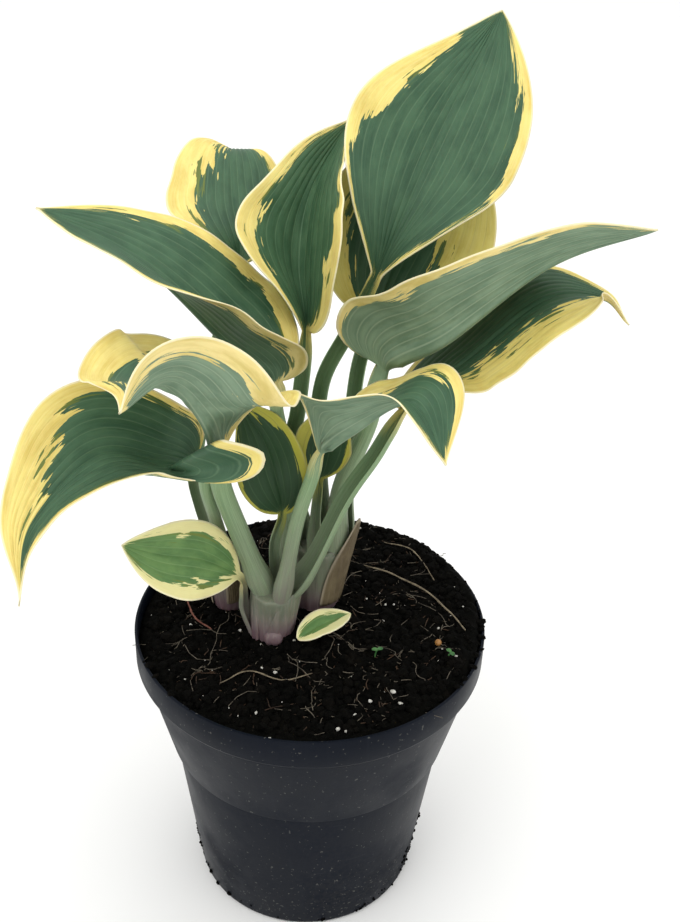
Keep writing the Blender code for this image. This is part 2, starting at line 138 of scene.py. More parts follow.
FADING = (4.0, 16.0)  # where a stalk's colour ends, past the base, and over what length
BLADE_START = 6  # rows over which a blade's swelling and keel begin
BLADE_TIP = 0.25  # half width left at the tip
LANE_POWER = 1.1  # above 1, the columns of faces lie closer together by the midrib
FOLD_LOSS, FOLD_NEAR = 0.75, 0.07  # share of the fold lost by the midrib, and how far out
WAVES, WAVE_SHARES = (2.3, 4.1, 7.0), (1, 1.6, 3)  # waves to an edge, and what divides each
# a midrib's height at the base as a share of the neck, how fast it runs out, and what is left
RIB_SHARE, RIB_FADE, RIB_LEAST = 0.85, 1.6, 0.15
GUTTER = 0.35  # depth of the channel over the midrib
STALK_BACK = 0.82  # height of a stalk's back as a share of its half width
STALK_LIP = 0.1  # how far the channel's edges stand above the back's, as such a share
LEAF_SEED = 100


def leaf(stalk, rib, face, half, **shape):
    """One leaf: points up its stalk, points along its midrib, the way its upper side faces at the
    base, and half its width. The rest says how the blade is cut, folded and coloured, in values
    spread evenly from base to tip: widest: where it is widest; base, tip: how blunt or drawn out
    each end is; left, right: shares of the half width; fold_*: how far each half is lifted;
    curl_*: how much further it turns by its edge; lobe: how far back the base reaches;
    gold_*: width of the yellow margin; wave: how much the edge undulates; pale: 0 for the dark
    blue-green of an old leaf, 1 for the light green of a young one; deep: how far painted
    shade darkens a leaf low in the clump to a dull olive; mauve: the purple at the foot of the
    stalk; bloom: how grey the underside is; root: where a stalk starts that is not straight inside
    its shoot."""
    spec = dict(stalk=stalk, rib=rib, face=face, half=half, widest=0.42, base=0.7, tip=1.0,
                left=(1,), right=(1,), fold_left=(20,), fold_right=(20,), curl_left=(0,),
                curl_right=(0,), lobe=(0.08, 0.08), foot=STALK_FOOT, neck=STALK_NECK,
                gold_left=(2, 3, 2), gold_right=(2, 3, 2), wave=0.35, pale=0.0, deep=0.0,
                mauve=0.5, bloom=1.0, root=None)
    spec.update(shape)
    return spec


# leaves low in the clump carry painted shade, which darkens them to a dull olive
LEAVES = {
    "back_tall": leaf(
        [(4, 15, 147.3), (1, 17, 187), (2, 18, 210), (10, 20, 228)],
        [(18, 25, 244), (27, 34, 265), (39, 50, 290), (58, 72, 324)],
        (0, -0.85, 0.53), 31, widest=0.5, base=1.15, tip=0.85, left=(1.1, 0.98, 0.6),
        right=(0.8, 0.95, 1.15), fold_left=(35, 14, 8), fold_right=(35, 10, 5), lobe=(0, 0),
        gold_left=(0.5, 0.8, 1.0, 1.6, 4, 10, 9, 5, 0.4, 0.2),
        gold_right=(1.2, 1.2, 1.2, 1.4, 2.2, 4.5, 4.5, 4.2, 3.6, 0.6)),
    # this leaf's small pale share lightens it a little: painted light against the shade it lies in
    "back_middle": leaf(
        [(-3, 11.5, 147.3), (-8.5, 8, 186), (-6, 8, 204)],
        [(-4, 14, 231), (-7, 26, 251), (-4, 41.5, 270), (9, 58.5, 290)],
        (-0.1, -0.85, 0.5), 24, widest=0.38, tip=1.03, left=(0.98, 1.25, 0.82, 1),
        right=(1, 1.25, 0.93), fold_left=(88, 52, 29), fold_right=(50, 58, 50),
        lobe=(0.06, 0.12), gold_left=(0.6, 2, 7.5, 9, 4.5, 2.5, 1.6, 0.4),
        gold_right=(3, 5, 6.5, 5, 2.2, 1.2, 0.8, 0.5), pale=0.08),
    "back_left": leaf(
        [(-34, 12.5, 138.3), (-41, 14, 159), (-43, 16, 178), (-36, 22, 215)],
        [(-27, 26.5, 249), (-31, 45, 265), (-33, 65, 275), (-33, 86, 264)],
        (0.1, -0.8, 0.5), 25, widest=0.4, base=0.8, tip=0.9, left=(1.3, 0.82, 0.45),
        right=(1, 0.77, 0.45), fold_left=(35, 8, 45), fold_right=(14, -15, 20),
        lobe=(0.05, 0.05), gold_left=(3, 8, 11, 10.5, 8, 5), gold_right=(1, 1.5, 3, 4, 3, 1)),
    "back_low": leaf(
        [(11.2, 14, 147.3), (12, 19, 180), (14, 24, 211)],
        [(19, 29, 229), (26, 41, 247), (36, 60, 265), (44, 85, 283)],
        (0, -0.8, 0.5), 29, widest=0.38, left=(1.25, 1.1, 1), right=(1.07,),
        fold_left=(25,), fold_right=(11,), gold_left=(6, 11, 9, 5, 3),
        gold_right=(3, 14, 20, 15, 5), deep=0.35),
    "left_long": leaf(
        [(-9, 3, 139.3), (-9, 5, 169), (-11, 3, 195), (-13, 0, 210)],
        [(-13, -4, 221), (-28.5, -10, 239), (-53, -10.5, 263.5), (-85, -5, 278)],
        (0, 0, 1), 29, base=0.57, tip=1.05, left=(1.05, 0.75, 0.65), right=(1.3, 1.07, 1.25),
        fold_left=(58, 29, -10, -30), fold_right=(65, 49, 42, 48), lobe=(0.11, 0.17),
        gold_left=(4, 5, 5.5, 5, 2, 0.8, 0.8, 0.4),
        gold_right=(7, 6, 5, 5.5, 4, 4.5, 2.5, 0.4), bloom=0.25),
    "left_nodding": leaf(
        [(-17, -8.5, 139.3), (-25, -13.5, 168), (-29.5, -21.5, 191)],
        [(-29, -31.5, 210.5), (-32, -46.5, 233), (-38.8, -64.9, 252.4), (-48.3, -81.8, 252.2)],
        (0, 0.3, 1), 33, widest=0.3, base=0.4, tip=1.09, left=(0.38, 0.9, 1.03, 1.18),
        right=(1.29, 1.23, 1.28, 1.38), fold_left=(56, -2, 87), fold_right=(81, 46, 4, -10),
        lobe=(0, 0), foot=3.8, neck=3.3, gold_left=(6, 8, 10, 9, 7, 5, 2),
        gold_right=(5, 10, 14, 12, 9, 5, 1.5)),
    "left_drooping": leaf(
        [(-30.5, 6, 138.3), (-33.5, -5, 165), (-35.5, -16, 187), (-34, -22, 199)],
        [(-37, -26, 202), (-48.6, -24, 202), (-67, -34, 208.5), (-83.6, -55, 196.5),
         (-85.5, -70, 177.5)],
        (0, -0.3, 1), 27.7, base=0.32, tip=1.56, left=(1.9, 0.75, 0.5, 0.45),
        right=(0.76, 0.9, 0.66, 0.5), fold_left=(36, 10, 22, 29), fold_right=(48, 20, 8),
        curl_left=(69, 18, 25), lobe=(0.6, 0.15), neck=2.2,
        gold_left=(1.6, 2.2, 2.4, 1.8, 1.2, 0.6), gold_right=(1.2, 2, 4.5, 13, 14, 9, 2.5),
        mauve=0.9),
    "right_nodding": leaf(
        [(-10, -12.5, 139.3), (-5, -16, 173), (0, -19, 194)],
        [(3, -22, 206), (12, -29.5, 218.5), (29, -39.5, 234.5), (40, -52.5, 221.5)],
        (0, 0, 1), 25, widest=0.35, base=0.5, left=(1.2, 1.22, 1.1),
        right=(0.6, 0.94, 0.6, 0.5), fold_left=(30, 15, 10), fold_right=(85, 31, 14),
        lobe=(0.15, 0), gold_left=(6, 12, 12, 7, 3, 1.6), gold_right=(1, 1.2, 1, 1.2, 1, 0.6),
        mauve=0.8),
    "right_long": leaf(
        [(8, 8, 147.3), (10, 9.5, 172), (18, 9.6, 197.6)],
        [(23, 2, 224), (41.5, -5.5, 240), (70.5, -9.7, 267.5), (100, -13, 281)],
        (0, 0.15, 1), 29, widest=0.4, base=0.4, right=(1.26, 0.9, 0.65, 0.9),
        fold_left=(34, 23, 15), fold_right=(80, 47, 43), lobe=(0.1, 0.25), foot=4.1,
        neck=3.5, gold_left=(3, 4, 5, 4, 2, 1), gold_right=(0.2, 3, 4, 2.8, 2.4, 1.4, 0.8)),
    "right_low": leaf(
        [(-6.5, -8, 139.3), (1, -8, 153), (11, -8, 179), (20, -7, 195)],
        [(30, -3, 211), (51, 1.3, 230.2), (72.4, 1.3, 250.8), (90.5, 2.5, 251.7),
         (97.7, -7.6, 247.5)],
        (0, -0.3, 0.95), 29, base=0.85, left=(1.2, 0.72, 0.84, 0.16),
        right=(0.88, 0.81, 1.03, 1.1), fold_left=(-20,), fold_right=(80, 25, 32, 77),
        lobe=(0.14, 0), gold_left=(2, 2, 2, 2.5, 1), gold_right=(4, 12, 15, 15, 12, 4),
        deep=0.12, foot=3.6),
    "centre_small": leaf(
        [(-12, -2.8, 139.3), (-13, -8, 158)],
        [(-10, -10.5, 174), (-12.5, -11.5, 190), (-17, -5.5, 200), (-26, 5, 208)],
        (0, -0.6, 0.8), 13, right=(0.75, 0.95, 1.1), lobe=(0.1, 0.1), foot=2.0, neck=1.8,
        gold_left=(1, 1, 1.2, 1), gold_right=(1.2, 2, 3, 4, 2), deep=0.9),
    "inner_small": leaf(
        [(0.3, 5.6, 147.3), (1, 3.5, 165)],
        [(2, 2, 180), (3, 2, 196), (10, 6, 210)],
        (0, -0.8, 0.5), 11, widest=0.45, fold_left=(25,), fold_right=(25,), lobe=(0, 0),
        foot=2.2, neck=1.6, gold_left=(3, 5, 4, 2), gold_right=(1, 1.5, 1, 0.5), deep=0.85),
    "low_small": leaf(
        [(-24.2, -7.5, 131), (-24, -9.5, 139)],
        [(-25, -12, 147), (-37, -20, 160), (-50, -26, 166), (-62, -30, 172)],
        (0, -0.65, 0.75), 13, widest=0.5, base=0.8, tip=0.8, left=(1.15,), fold_left=(10,),
        fold_right=(10,), lobe=(0, 0), foot=2.0, neck=1.6, gold_left=(3, 4, 6, 5, 2, 1),
        gold_right=(3, 3, 4, 5, 3, 1), pale=0.85, mauve=1.0, root=(-19.5, -8.5, 116)),
    "on_soil": leaf(
        [], [(-4, -15.5, 121.9), (4, -9, 123.4), (15, 2, 120.4)],
        (0, -0.3, 0.95), 5.9, base=0.5, tip=0.75, lobe=(0, 0), neck=1.0,
        gold_left=(1.8, 2.4, 1.6), gold_right=(2.8, 3.6, 2.6), pale=1.0, mauve=0.0),
}

# CAD node: piece, points (x, y), radius
STRANDS = {
    "root_strand_long": ("loose_root_long", [(20, 29), (32, 22), (44, 14), (52, 2), (57, -8)],
                         0.7),
    "root_strand_back": ("loose_root_back", [(28, 44), (38, 38), (44, 28), (47, 20)], 0.5),
    "root_strand_front": ("loose_root_front", [(-30, -36), (-20, -30), (-8, -34), (2, -30)],
                          0.5),
    "twig_left": ("loose_twig_left", [(-47, 8), (-43, -2), (-36, -9)], 0.7),
}
STRAND_SEAT = 1.0  # how far a loose root lies above the smooth heap, on its crumbs
STRAND_SEED = 41

# name, place, point it faces, width, power
LIGHTS = (("key", (-0.55, -0.75, 1.35), (0, 0, 0.15), 0.9, 5.0),
          ("fill", (0.95, -0.55, 0.9), (0, 0, 0.15), 0.9, 1.5),
          ("top", (0.1, 0.35, 1.5), (0, 0, 0.1), 0.8, 3.0))
SKY = 1.08  # brightness of the light from all round
CAMERA_PLACE = (0.009, -0.3494, 0.4073)
CAMERA_DOWN, CAMERA_ROLL = math.radians(32.0), math.radians(2.0)
CAMERA_LENS = 46.85


# --- Nodes
def shade(red, green, blue, gain=1.0):
    """A screen colour, from 0 to 255 a channel, as the linear colour that a shader takes."""
    return [min(1, gain * (c / 12.92 if c <= 0.04045 else ((c + 0.055) / 1.055) ** 2.4))
            for c in (red / 255, green / 255, blue / 255)] + [1]


class Value:
    """What a node gives. Sums with it make further nodes."""

    def __init__(self, nodes, socket):
        self.nodes, self.socket = nodes, socket

    def __add__(self, other):
        return self.nodes.sum("ADD", self, other)

    def __sub__(self, other):
        return self.nodes.sum("SUBTRACT", self, other)

    def __rsub__(self, other):
        return self.nodes.sum("SUBTRACT", other, self)

    def __mul__(self, other):
        return self.nodes.sum("MULTIPLY", self, other)

    def __truediv__(self, other):
        return self.nodes.sum("DIVIDE", self, other)


class Nodes:
    """A tree of nodes, of a material or of a shape."""

    def feed(self, socket, value):
        if isinstance(value, Value):
            self.tree.links.new(value.socket, socket)
        elif socket.type == "RGBA":
            socket.default_value = shade(*value)
        else:
            socket.default_value = value

    def add(self, kind, inputs=(), **settings):
        """What a new node gives. Its inputs are a list, or pairs of socket (name or number) and
        value."""
        node = self.tree.nodes.new(kind)
        for key, value in settings.items():
            setattr(node, key, value)
        for key, value in inputs.items() if isinstance(inputs, dict) else enumerate(inputs):
            self.feed(node.inputs[key], value)
        return [Value(self, socket) for socket in node.outputs]

    def sum(self, kind, a, b=0.0):
        return self.add("ShaderNodeMath", (a, b), operation=kind)[0]

    def vector(self, x, y, z):
        return self.add("ShaderNodeCombineXYZ", (x, y, z))[0]

    def product(self, a, b):
        """Two vectors multiplied, each part by its own."""
        return self.add("ShaderNodeVectorMath", (a, b), operation="MULTIPLY")[0]


class Finish(Nodes):
    """One material."""

    def __init__(self, name):
        self.material = bpy.data.materials.new(name)
        self.material.use_nodes = True
        self.tree = self.material.node_tree
        self.shader = self.tree.nodes["Principled BSDF"]
        self.place = self.add("ShaderNodeTexCoord")[3]  # in the piece's own frame

    def read(self, name):
        """A value that the mesh carries."""
        return self.add("ShaderNodeAttribute", attribute_name=name)[2]

    def height(self):
        return self.add("ShaderNodeSeparateXYZ", (self.place,))[2]

    def noise(self, scale, detail=3.0, rough=0.55, where=None):
        return self.add("ShaderNodeTexNoise", {"Vector": where or self.place, "Scale": scale,
                                               "Detail": detail, "Roughness": rough})[0]

    def drawn(self, across, up, detail=3.0, rough=0.55):
        """Noise stretched into marks: so fine from side to side and so fine up and down."""
        return self.noise(1.0, detail, rough, self.product(self.place, (across, across, up)))

    def step(self, value, low, high, start=0.0, end=1.0):
        """Eases from start to end as the value goes from low to high."""
        return self.add("ShaderNodeMapRange", (value, low, high, start, end),
                        interpolation_type="SMOOTHSTEP")[0]

    def painted(self, colour, *coats):
        """A colour under coats, each so much of another colour. Colours are red, green and blue
        on a screen, and a gain if there is one, or what a node gives."""
        for share, coat in coats:
            colour = self.add("ShaderNodeMix", {0: share, 6: colour, 7: coat},
                              data_type="RGBA")[2]
        return colour

    def bump(self, height, distance, strength):
        bumped = self.add("ShaderNodeBump", {"Height": height, "Distance": distance,
                                             "Strength": strength})[0]
        self.feed(self.shader.inputs["Normal"], bumped)

    def done(self, colour, roughness, specular, **sockets):
        sockets.update(Base_Color=colour, Roughness=roughness, Specular_IOR_Level=specular)
        for key, value in sockets.items():
            self.feed(self.shader.inputs[key.replace("_", " ")], value)
        return self.material


class Recipe(Nodes):
    """Geometry nodes with named sizes. They run once, and what they make is kept as a plain
    mesh."""

    def __init__(self, name, sizes):
        self.tree = bpy.data.node_groups.new(name, "GeometryNodeTree")
        self.sizes = sizes
        sockets = self.tree.interface
        sockets.new_socket("Geometry", in_out="INPUT", socket_type="NodeSocketGeometry")
        for key, value in sizes.items():
            kind = "NodeSocketInt" if isinstance(value, int) else "NodeSocketFloat"
            sockets.new_socket(key, in_out="INPUT", socket_type=kind)
        sockets.new_socket("Geometry", in_out="OUTPUT", socket_type="NodeSocketGeometry")
        self.given = {value.socket.name: value for value in self.add("NodeGroupInput")}
        self.result = self.tree.nodes.new("NodeGroupOutput").inputs[0]

    def shape(self, kind, inputs=(), **settings):
        """What a new geometry node gives first."""
        return self.add("GeometryNode" + kind, inputs, **settings)[0]

    def chance(self, low, high, seed):
        """A random vector for each point, between low and high."""
        return self.add("FunctionNodeRandomValue", {0: low, 1: high, "Seed": seed},
                        data_type="FLOAT_VECTOR")[0]

    def scattered(self, thing, density, power, tilt, seed, squeeze=None):
        """Copies of a thing over the host: the higher the power, the more small ones. Tilt is
        how far they lean, and squeeze is a vector for each."""
        given, full_turn = self.given, 6.3
        points = self.shape("DistributePointsOnFaces", {
            0: given["Geometry"], "Density": given[density], "Seed": given["Seed"]})
        odds = self.add("FunctionNodeRandomValue", {2: 0.0, 3: 1.0, "Seed": given["Seed"]},
                        data_type="FLOAT")[1]
        span = given["Largest"] - given["Smallest"]
        size = given["Smallest"] + self.sum("POWER", odds, power) * span
        if squeeze:
            size = self.product(squeeze, self.vector(size, size, size))
        placed = self.shape("InstanceOnPoints", {
            0: points, "Instance": thing, "Scale": size,
            "Rotation": self.chance((-tilt, -tilt, 0), (tilt, tilt, full_turn), seed)})
        return self.shape("RealizeInstances", (placed,))

    def pushed(self, shape, scale, detail, reach):
        """The shape with its points pushed about by noise, as far as reach says."""
        cloud = self.add("ShaderNodeTexNoise", {"Scale": scale, "Detail": detail})[1]
        push = self.add("ShaderNodeVectorMath", (cloud, (0.5, 0.5, 0.5)),
                        operation="SUBTRACT")[0]
        return self.shape("SetPosition", {
            0: shape, "Offset": self.product(push, self.vector(*reach))})

    def made(self, name, host_mesh, shape, material):
        """The piece that the shape gives on the host."""
        real = self.shape("RealizeInstances", (shape,))
        painted = self.shape("SetMaterial", {0: real, "Material": material})
        self.feed(self.result, painted)
        host = in_scene(name + "_host", host_mesh)
        modifier = host.modifiers.new("shape", "NODES")
        modifier.node_group = self.tree
        for item in self.tree.interface.items_tree:
            if item.in_out == "INPUT" and item.name in self.sizes:
                modifier[item.identifier] = self.sizes[item.name]
        seen = host.evaluated_get(bpy.context.evaluated_depsgraph_get())
        mesh = bpy.data.meshes.new_from_object(seen)
        host.modifiers.remove(modifier)
        bpy.data.objects.remove(host)
        mesh.name = name
        return in_scene(name, mesh)


# --- Curves and frames
def smooth_path(points, steps=40):
    """A finely stepped smooth curve through the points, and where each point lies on it."""
    pts = np.array(points, float)
    ends = np.vstack([2 * pts[0] - pts[1], pts, 2 * pts[-1] - pts[-2]])
    t = (np.arange(steps) / steps)[:, None]
    runs = [0.5 * (2 * b + (c - a) * t + (2 * a - 5 * b + 4 * c - d) * t ** 2
                   + (3 * b - a - 3 * c + d) * t ** 3)
            for a, b, c, d in zip(ends, ends[1:], ends[2:], ends[3:])]
    return np.vstack(runs + [pts[-1:]]), np.arange(len(pts)) * steps


def lengths(path):
    """How far along the path each of its points is."""
    return np.r_[0, np.cumsum(np.linalg.norm(np.diff(path, axis=0), axis=1))]


def even(path, count):
    """The path again, in equal steps."""
    run = lengths(path)
    at = np.linspace(0, run[-1], count)
    return np.stack([np.interp(at, run, path[:, axis]) for axis in range(3)], -1)


def unit(vector):
    """The vectors, each one long."""
    return vector / np.maximum(np.linalg.norm(vector, axis=-1, keepdims=True), 1e-12)


def heading(path):
    """The way the path goes at each of its points."""
    return unit(np.gradient(path, lengths(path), axis=0))


def carried(along, start):
    """An up direction carried along a path with as little turning as it can."""
    up = np.zeros_like(along)
    current = np.array(start, float)
    for i, direction in enumerate(along):
        current = unit(current - (current @ direction) * direction)
        up[i] = current
    return up


def blade_up(rib, face, coarse_rows, along):
    """The blade's up directions, carried along the same coarse steps as the solid model's blade
    and then spread over the fine ones."""
    coarse = even(rib, coarse_rows + 1)
    ups = carried(unit(np.gradient(coarse, axis=0)), face)
    at = np.linspace(0, 1, len(along))
    stops = np.linspace(0, 1, len(ups))
    up = np.stack([np.interp(at, stops, ups[:, axis]) for axis in range(3)], -1)
    return unit(up - np.sum(up * along, axis=-1, keepdims=True) * along)


def smooth(t):
    """From 0 to 1 with a gentle start and end."""
    return t * t * (3 - 2 * t)


def eased(u, values):
    """Values spread evenly from 0 to 1 and eased from one to the next."""
    values = np.array(values, float)
    if len(values) == 1:
        return np.full_like(u, values[0])
    stops = np.linspace(0, 1, len(values))
    i = np.clip(np.searchsorted(stops, u) - 1, 0, len(values) - 2)
    t = smooth(np.clip((u - stops[i]) / (stops[i + 1] - stops[i]), 0, 1))
    return values[i] * (1 - t) + values[i + 1] * t


def around(count):
    """Equal turns all the way round."""
    return np.arange(count) * 2 * math.pi / count


def ring(centre, radii, turn, z):
    """Points round an ellipse, at a height or at a height for each."""
    return np.stack([centre[0] + radii[0] * np.cos(turn), centre[1] + radii[1] * np.sin(turn),
                     z + 0 * turn], -1)


def circle(radius, turn, z):
    """Points round the pot's axis."""
    return ring((0, 0), (radius, radius), turn, z)


def ball(rows=18, sides=28):
    """Directions over a ball, ring by ring from its foot, how far round each is, and faces."""
    tilt = np.repeat(math.pi * (np.arange(rows) + 0.5) / rows, sides)
    turn = np.tile(around(sides), rows)
    return circle(np.sin(tilt), turn, -np.cos(tilt)), turn, ring_faces(rows, sides)


# --- Meshes
def in_scene(name, data):
    thing = bpy.data.objects.new(name, data)
    bpy.context.scene.collection.objects.link(thing)
    return thing


def plain_mesh(name, points, faces):
    """A mesh from points in millimetres."""
    mesh = bpy.data.meshes.new(name)
    mesh.from_pydata((np.asarray(points) * MM).tolist(), [], faces)
    return mesh


def add_piece(name, points, faces, material, replaced=(), values=None, loose=True):
    """A smooth piece, with values for its points to carry. A loose one may have doubled points
    and faces that need turning."""
    mesh = plain_mesh(name, points, faces)
    mesh.shade_smooth()
    mesh.materials.append(material)
    for key, given in (values or {}).items():
        layer = mesh.attributes.new(key, "FLOAT", "POINT")
        layer.data.foreach_set("value", np.asarray(given, np.float32).ravel())
    piece = in_scene(name, mesh)
    if loose:
        outward(piece)
    return join_frame(piece, replaced)


def join_frame(piece, replaced=()):
    """The piece on the one body and in place of CAD nodes."""
    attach(piece, "root")
    if replaced:
        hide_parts(*replaced)
    return piece


def outward(piece, crease=None):
    """Faces turned outwards, with edges that turn by more than the crease kept sharp."""
    bm = bmesh.new()
    bm.from_mesh(piece.data)
    bmesh.ops.remove_doubles(bm, verts=bm.verts, dist=1e-7)
    bmesh.ops.recalc_face_normals(bm, faces=bm.faces)
    bm.to_mesh(piece.data)
    bm.free()
    piece.data.shade_smooth()
    if crease:
        piece.data.set_sharp_from_angle(angle=math.radians(crease))


def shell_faces(rows, columns, start=0):
    """Faces of a closed skin: an upper grid, a lower grid and the strip between their edges."""
    count = rows * columns
    index = np.arange(count).reshape(rows, columns) + start
    upper = np.stack([index[:-1, :-1], index[:-1, 1:], index[1:, 1:], index[1:, :-1]], -1)
    upper = upper.reshape(-1, 4)
    border = np.r_[index[0], index[1:, -1], index[-1, -2::-1], index[-2:0:-1, 0]]
    after = np.roll(border, -1)
    strip = np.stack([after, border, border + count, after + count], -1)
    both = np.stack([upper, upper[:, [0, 3, 2, 1]] + count], 1).reshape(-1, 4)
    return np.vstack([both, strip]).tolist()


def ring_faces(rows, columns, closed=True):
    """Faces round a stack of rings, and over its two ends."""
    index = np.arange(rows * columns).reshape(rows, columns)
    after = np.roll(index, -1, axis=1)
    faces = np.stack([index[:-1], after[:-1], after[1:], index[1:]], -1).reshape(-1, 4)
    ends = [index[0, ::-1].tolist(), index[-1].tolist()] if closed else []
    return faces.tolist() + ends


def grid_normals(grid):
    """The way the upper side of a sheet faces at each of its points."""
    return unit(np.cross(np.gradient(grid, axis=1), np.gradient(grid, axis=0)))


def skins(grid, half, start=0):
    """Points of the two sides of a sheet, half its thickness each way, and the faces of both."""
    offset = grid_normals(grid) * half
    points = [(grid + offset).reshape(-1, 3), (grid - offset).reshape(-1, 3)]
    return points, shell_faces(*grid.shape[:2], start)


# --- Leaves
def leaf_finish():
    """Living leaf: dark green blade, yellow margin that runs out in streaks, a pale rim of painted
    highlight, veins, duller underside, painted shade on low leaves, and a pale stalk that turns
    mauve at its foot."""
    f = Finish("leaf_tissue")
    across, run, seed, gold, edge, under, stalk, pale, mauve, deep, bloom, broad = map(
        f.read, ("across", "run", "seed", "gold", "edge", "under", "stalk", "pale", "mauve",
                 "deep", "bloom", "broad"))

    def streaked(wide, long, shift=0.0, detail=3.0, rough=0.6):
        """Noise drawn out along the leaf."""
        return f.noise(1.0, detail, rough, f.vector(across * wide, run * long, seed + shift))

    streaks = streaked(1.8, 0.085, rough=0.5)
    fine = streaked(9.0, 0.07, 7.3)
    smudges = streaked(3.4, 0.06, 3.1)
    clouds = streaked(0.7, 0.09, 11.0, detail=4.0)
    thread = streaked(4.0, 0.04)

    # how far inside the yellow margin a point lies, in millimetres, torn into streaks that are
    # longer where the margin is broad
    tear = f.step(broad, 1.0, 11.0, 5.0, 27.0)
    torn = gold + (streaks - 0.5) * tear + (fine - 0.5) * 4.0
    yellow = f.step(torn, -0.12, 0.12)
    olive = f.step(gold + (smudges - 0.5) * 16.0, 0.3, 0.9) * 0.75

    vein = f.sum("ABSOLUTE", f.sum("FRACT", across + 0.5) - 0.5)
    line = f.step(vein, 0.0, 0.11, 1.0, 0.0)
    halo = f.step(vein, 0.05, 0.4, 1.0, 0.0)
    cloudy = f.step(clouds, 0.3, 0.7)
    patchy = f.step(clouds, 0.35, 0.7)

    young = f.painted((82, 118, 64), (cloudy, (110, 144, 82)), (line * 0.3, (136, 164, 112)))
    green = f.painted((46, 78, 55), (cloudy, (68, 100, 73)),
                      (f.step(fine, 0.25, 0.8, 0.0, 0.35), (78, 108, 80)),
                      (line * 0.5, (96, 124, 94)), (pale, young), (olive, (112, 122, 52)))
    butter = f.painted((232, 212, 118), (patchy, (208, 182, 86)),
                       (f.step(fine, 0.2, 0.85, 0.0, 0.45), (242, 230, 164)),
                       (pale * 0.75, (222, 222, 170)))
    dull = f.painted((98, 122, 98), (cloudy, (124, 146, 120)), (halo * 0.3, (86, 112, 88)),
                     (line * 0.6, (150, 166, 140)))
    dull_butter = f.painted((232, 214, 146), (patchy, (204, 184, 108)))
    below = f.painted(green, (bloom, dull), (yellow, dull_butter))
    # painted shade: the dark olive that leaves low in the clump are turned to, yellow margin
    # included
    shaded = f.painted((30, 56, 28), (yellow, (146, 146, 40)), (line * 0.35, (62, 88, 52)))
    # painted highlight: a pale line along the blade's edge, left off where painted shade darkens a
    # leaf
    rim = f.step(edge, 0.2, 0.85, 1.0, 0.0) * 0.8 * (1.0 - deep)
    blush = mauve * f.step(clouds, 0.25, 0.65, 0.55, 1.0)
    stem = f.painted((110, 138, 98), (f.step(thread, 0.3, 0.7), (144, 167, 128)),
                     ((1.0 - under) * 0.55, (66, 96, 56)), (blush, (122, 104, 108)))
    colour = f.painted(green, (yellow, butter), (under, below), (deep, shaded),
                       (rim, (244, 236, 200)), (stalk, stem))
    f.bump(fine * 0.6 + line * -0.4, 0.0003, 0.35)
    return f.done(colour, f.step(clouds, 0.2, 0.8, 0.46, 0.62), 0.25,
                  Subsurface_Weight=0.06, Subsurface_Scale=0.001)


def leaf_spine(spec):
    """The line up the stalk and along the midrib, how far along it each point is, its two
    directions, and the row where the blade starts."""
    large = int(spec["half"] > LARGE_HALF)
    path, stops = smooth_path(spec["stalk"] + spec["rib"])
    cut = stops[len(spec["stalk"])]
    line = even(path[cut:], BLADE_ROWS[large] + 1)
    first = 0
    if spec["stalk"]:
        root = spec["root"] or path[0] + unit(path[0] - path[4]) * STALK_ROOTED
        lower = np.vstack([root, path[:cut + 1]])
        first = max(STALK_ROWS, int(lengths(lower)[-1] / STALK_STEP))
        line = np.vstack([even(lower, first + 1)[:-1], line])
    along = heading(line)
    up = np.zeros_like(line)
    up[first:] = blade_up(path[cut:], spec["face"], SOLID_ROWS[large], along[first:])
    up[:first + 1] = carried(along[:first + 1][::-1], up[first])[::-1]
    return line, lengths(line), along, up, first


def leaf_widths(spec, u, first):
    """Half the width at each row, without the shares of its two halves."""
    width = np.full(len(u), float(spec["neck"]))
    u = u[first:]
    rise = np.where(u < spec["widest"], u / spec["widest"], (1 - u) / (1 - spec["widest"]))
    ends = np.where(u < spec["widest"], spec["base"], spec["tip"])
    blade = spec["half"] * np.sin(math.pi / 2 * np.clip(rise, 0, 1)) ** ends
    width[first:] = np.maximum(blade, spec["neck"] * (1 - u) ** 6)
    width[-1] = BLADE_TIP
    return width


def flat_leaf(spec, line, along, up, u, width, half_columns, length):
    """The leaf as a sheet folded along its midrib. Share and reach say how far out each point
    is: as a share of its half, and in millimetres."""
    side = np.cross(along, up)
    middle = np.zeros((len(u), 2 * half_columns + 1, 3))
    middle[:, half_columns] = line
    reach = np.zeros(middle.shape[:2])
    share = np.zeros(middle.shape[:2])
    lanes = (np.arange(half_columns + 1) / half_columns) ** LANE_POWER
    for sign, word, lobe in ((-1, "left", spec["lobe"][0]), (1, "right", spec["lobe"][1])):
        half_width = width * eased(u, spec[word])
        fold = np.radians(eased(u, spec["fold_" + word]))
        curl = np.radians(eased(u, spec["curl_" + word]))
        out = np.zeros(len(u))
        lift = np.zeros(len(u))
        for j, (inner, outer) in enumerate(zip(lanes, lanes[1:]), 1):
            centre = (inner + outer) / 2
            loss = FOLD_LOSS * math.exp(-(centre / FOLD_NEAR) ** 2)
            angle = (fold + curl * centre) * (1 - loss)
            out = out + np.cos(angle) * half_width * (outer - inner)
            lift = lift + np.sin(angle) * half_width * (outer - inner)
            back = lobe * length * outer * outer * (1 - u) ** 3 * u / (u + 0.04)
            column = half_columns + sign * j
            middle[:, column] = (line + sign * side * out[:, None] + up * lift[:, None]
                                 - along * back[:, None])
            reach[:, column] = sign * half_width * outer
            share[:, column] = sign * outer
    return middle, share, reach


def edge_wave(spec, u, share, chance):
    """How far the undulating edge stands off the sheet."""
    wave = np.zeros(share.shape)
    for sign in (-1, 1):
        phase = chance.uniform(0, 2 * math.pi, 3)
        pitch = chance.uniform(0.8, 1.2, 3) * WAVES
        ripple = sum(np.sin(2 * math.pi * p * u + q) / n
                     for p, q, n in zip(pitch, phase, WAVE_SHARES))
        here = np.clip(share * sign, 0, 1) ** 3
        wave += spec["wave"] * here * (ripple * np.sin(math.pi * u) ** 0.5)[:, None]
    return wave


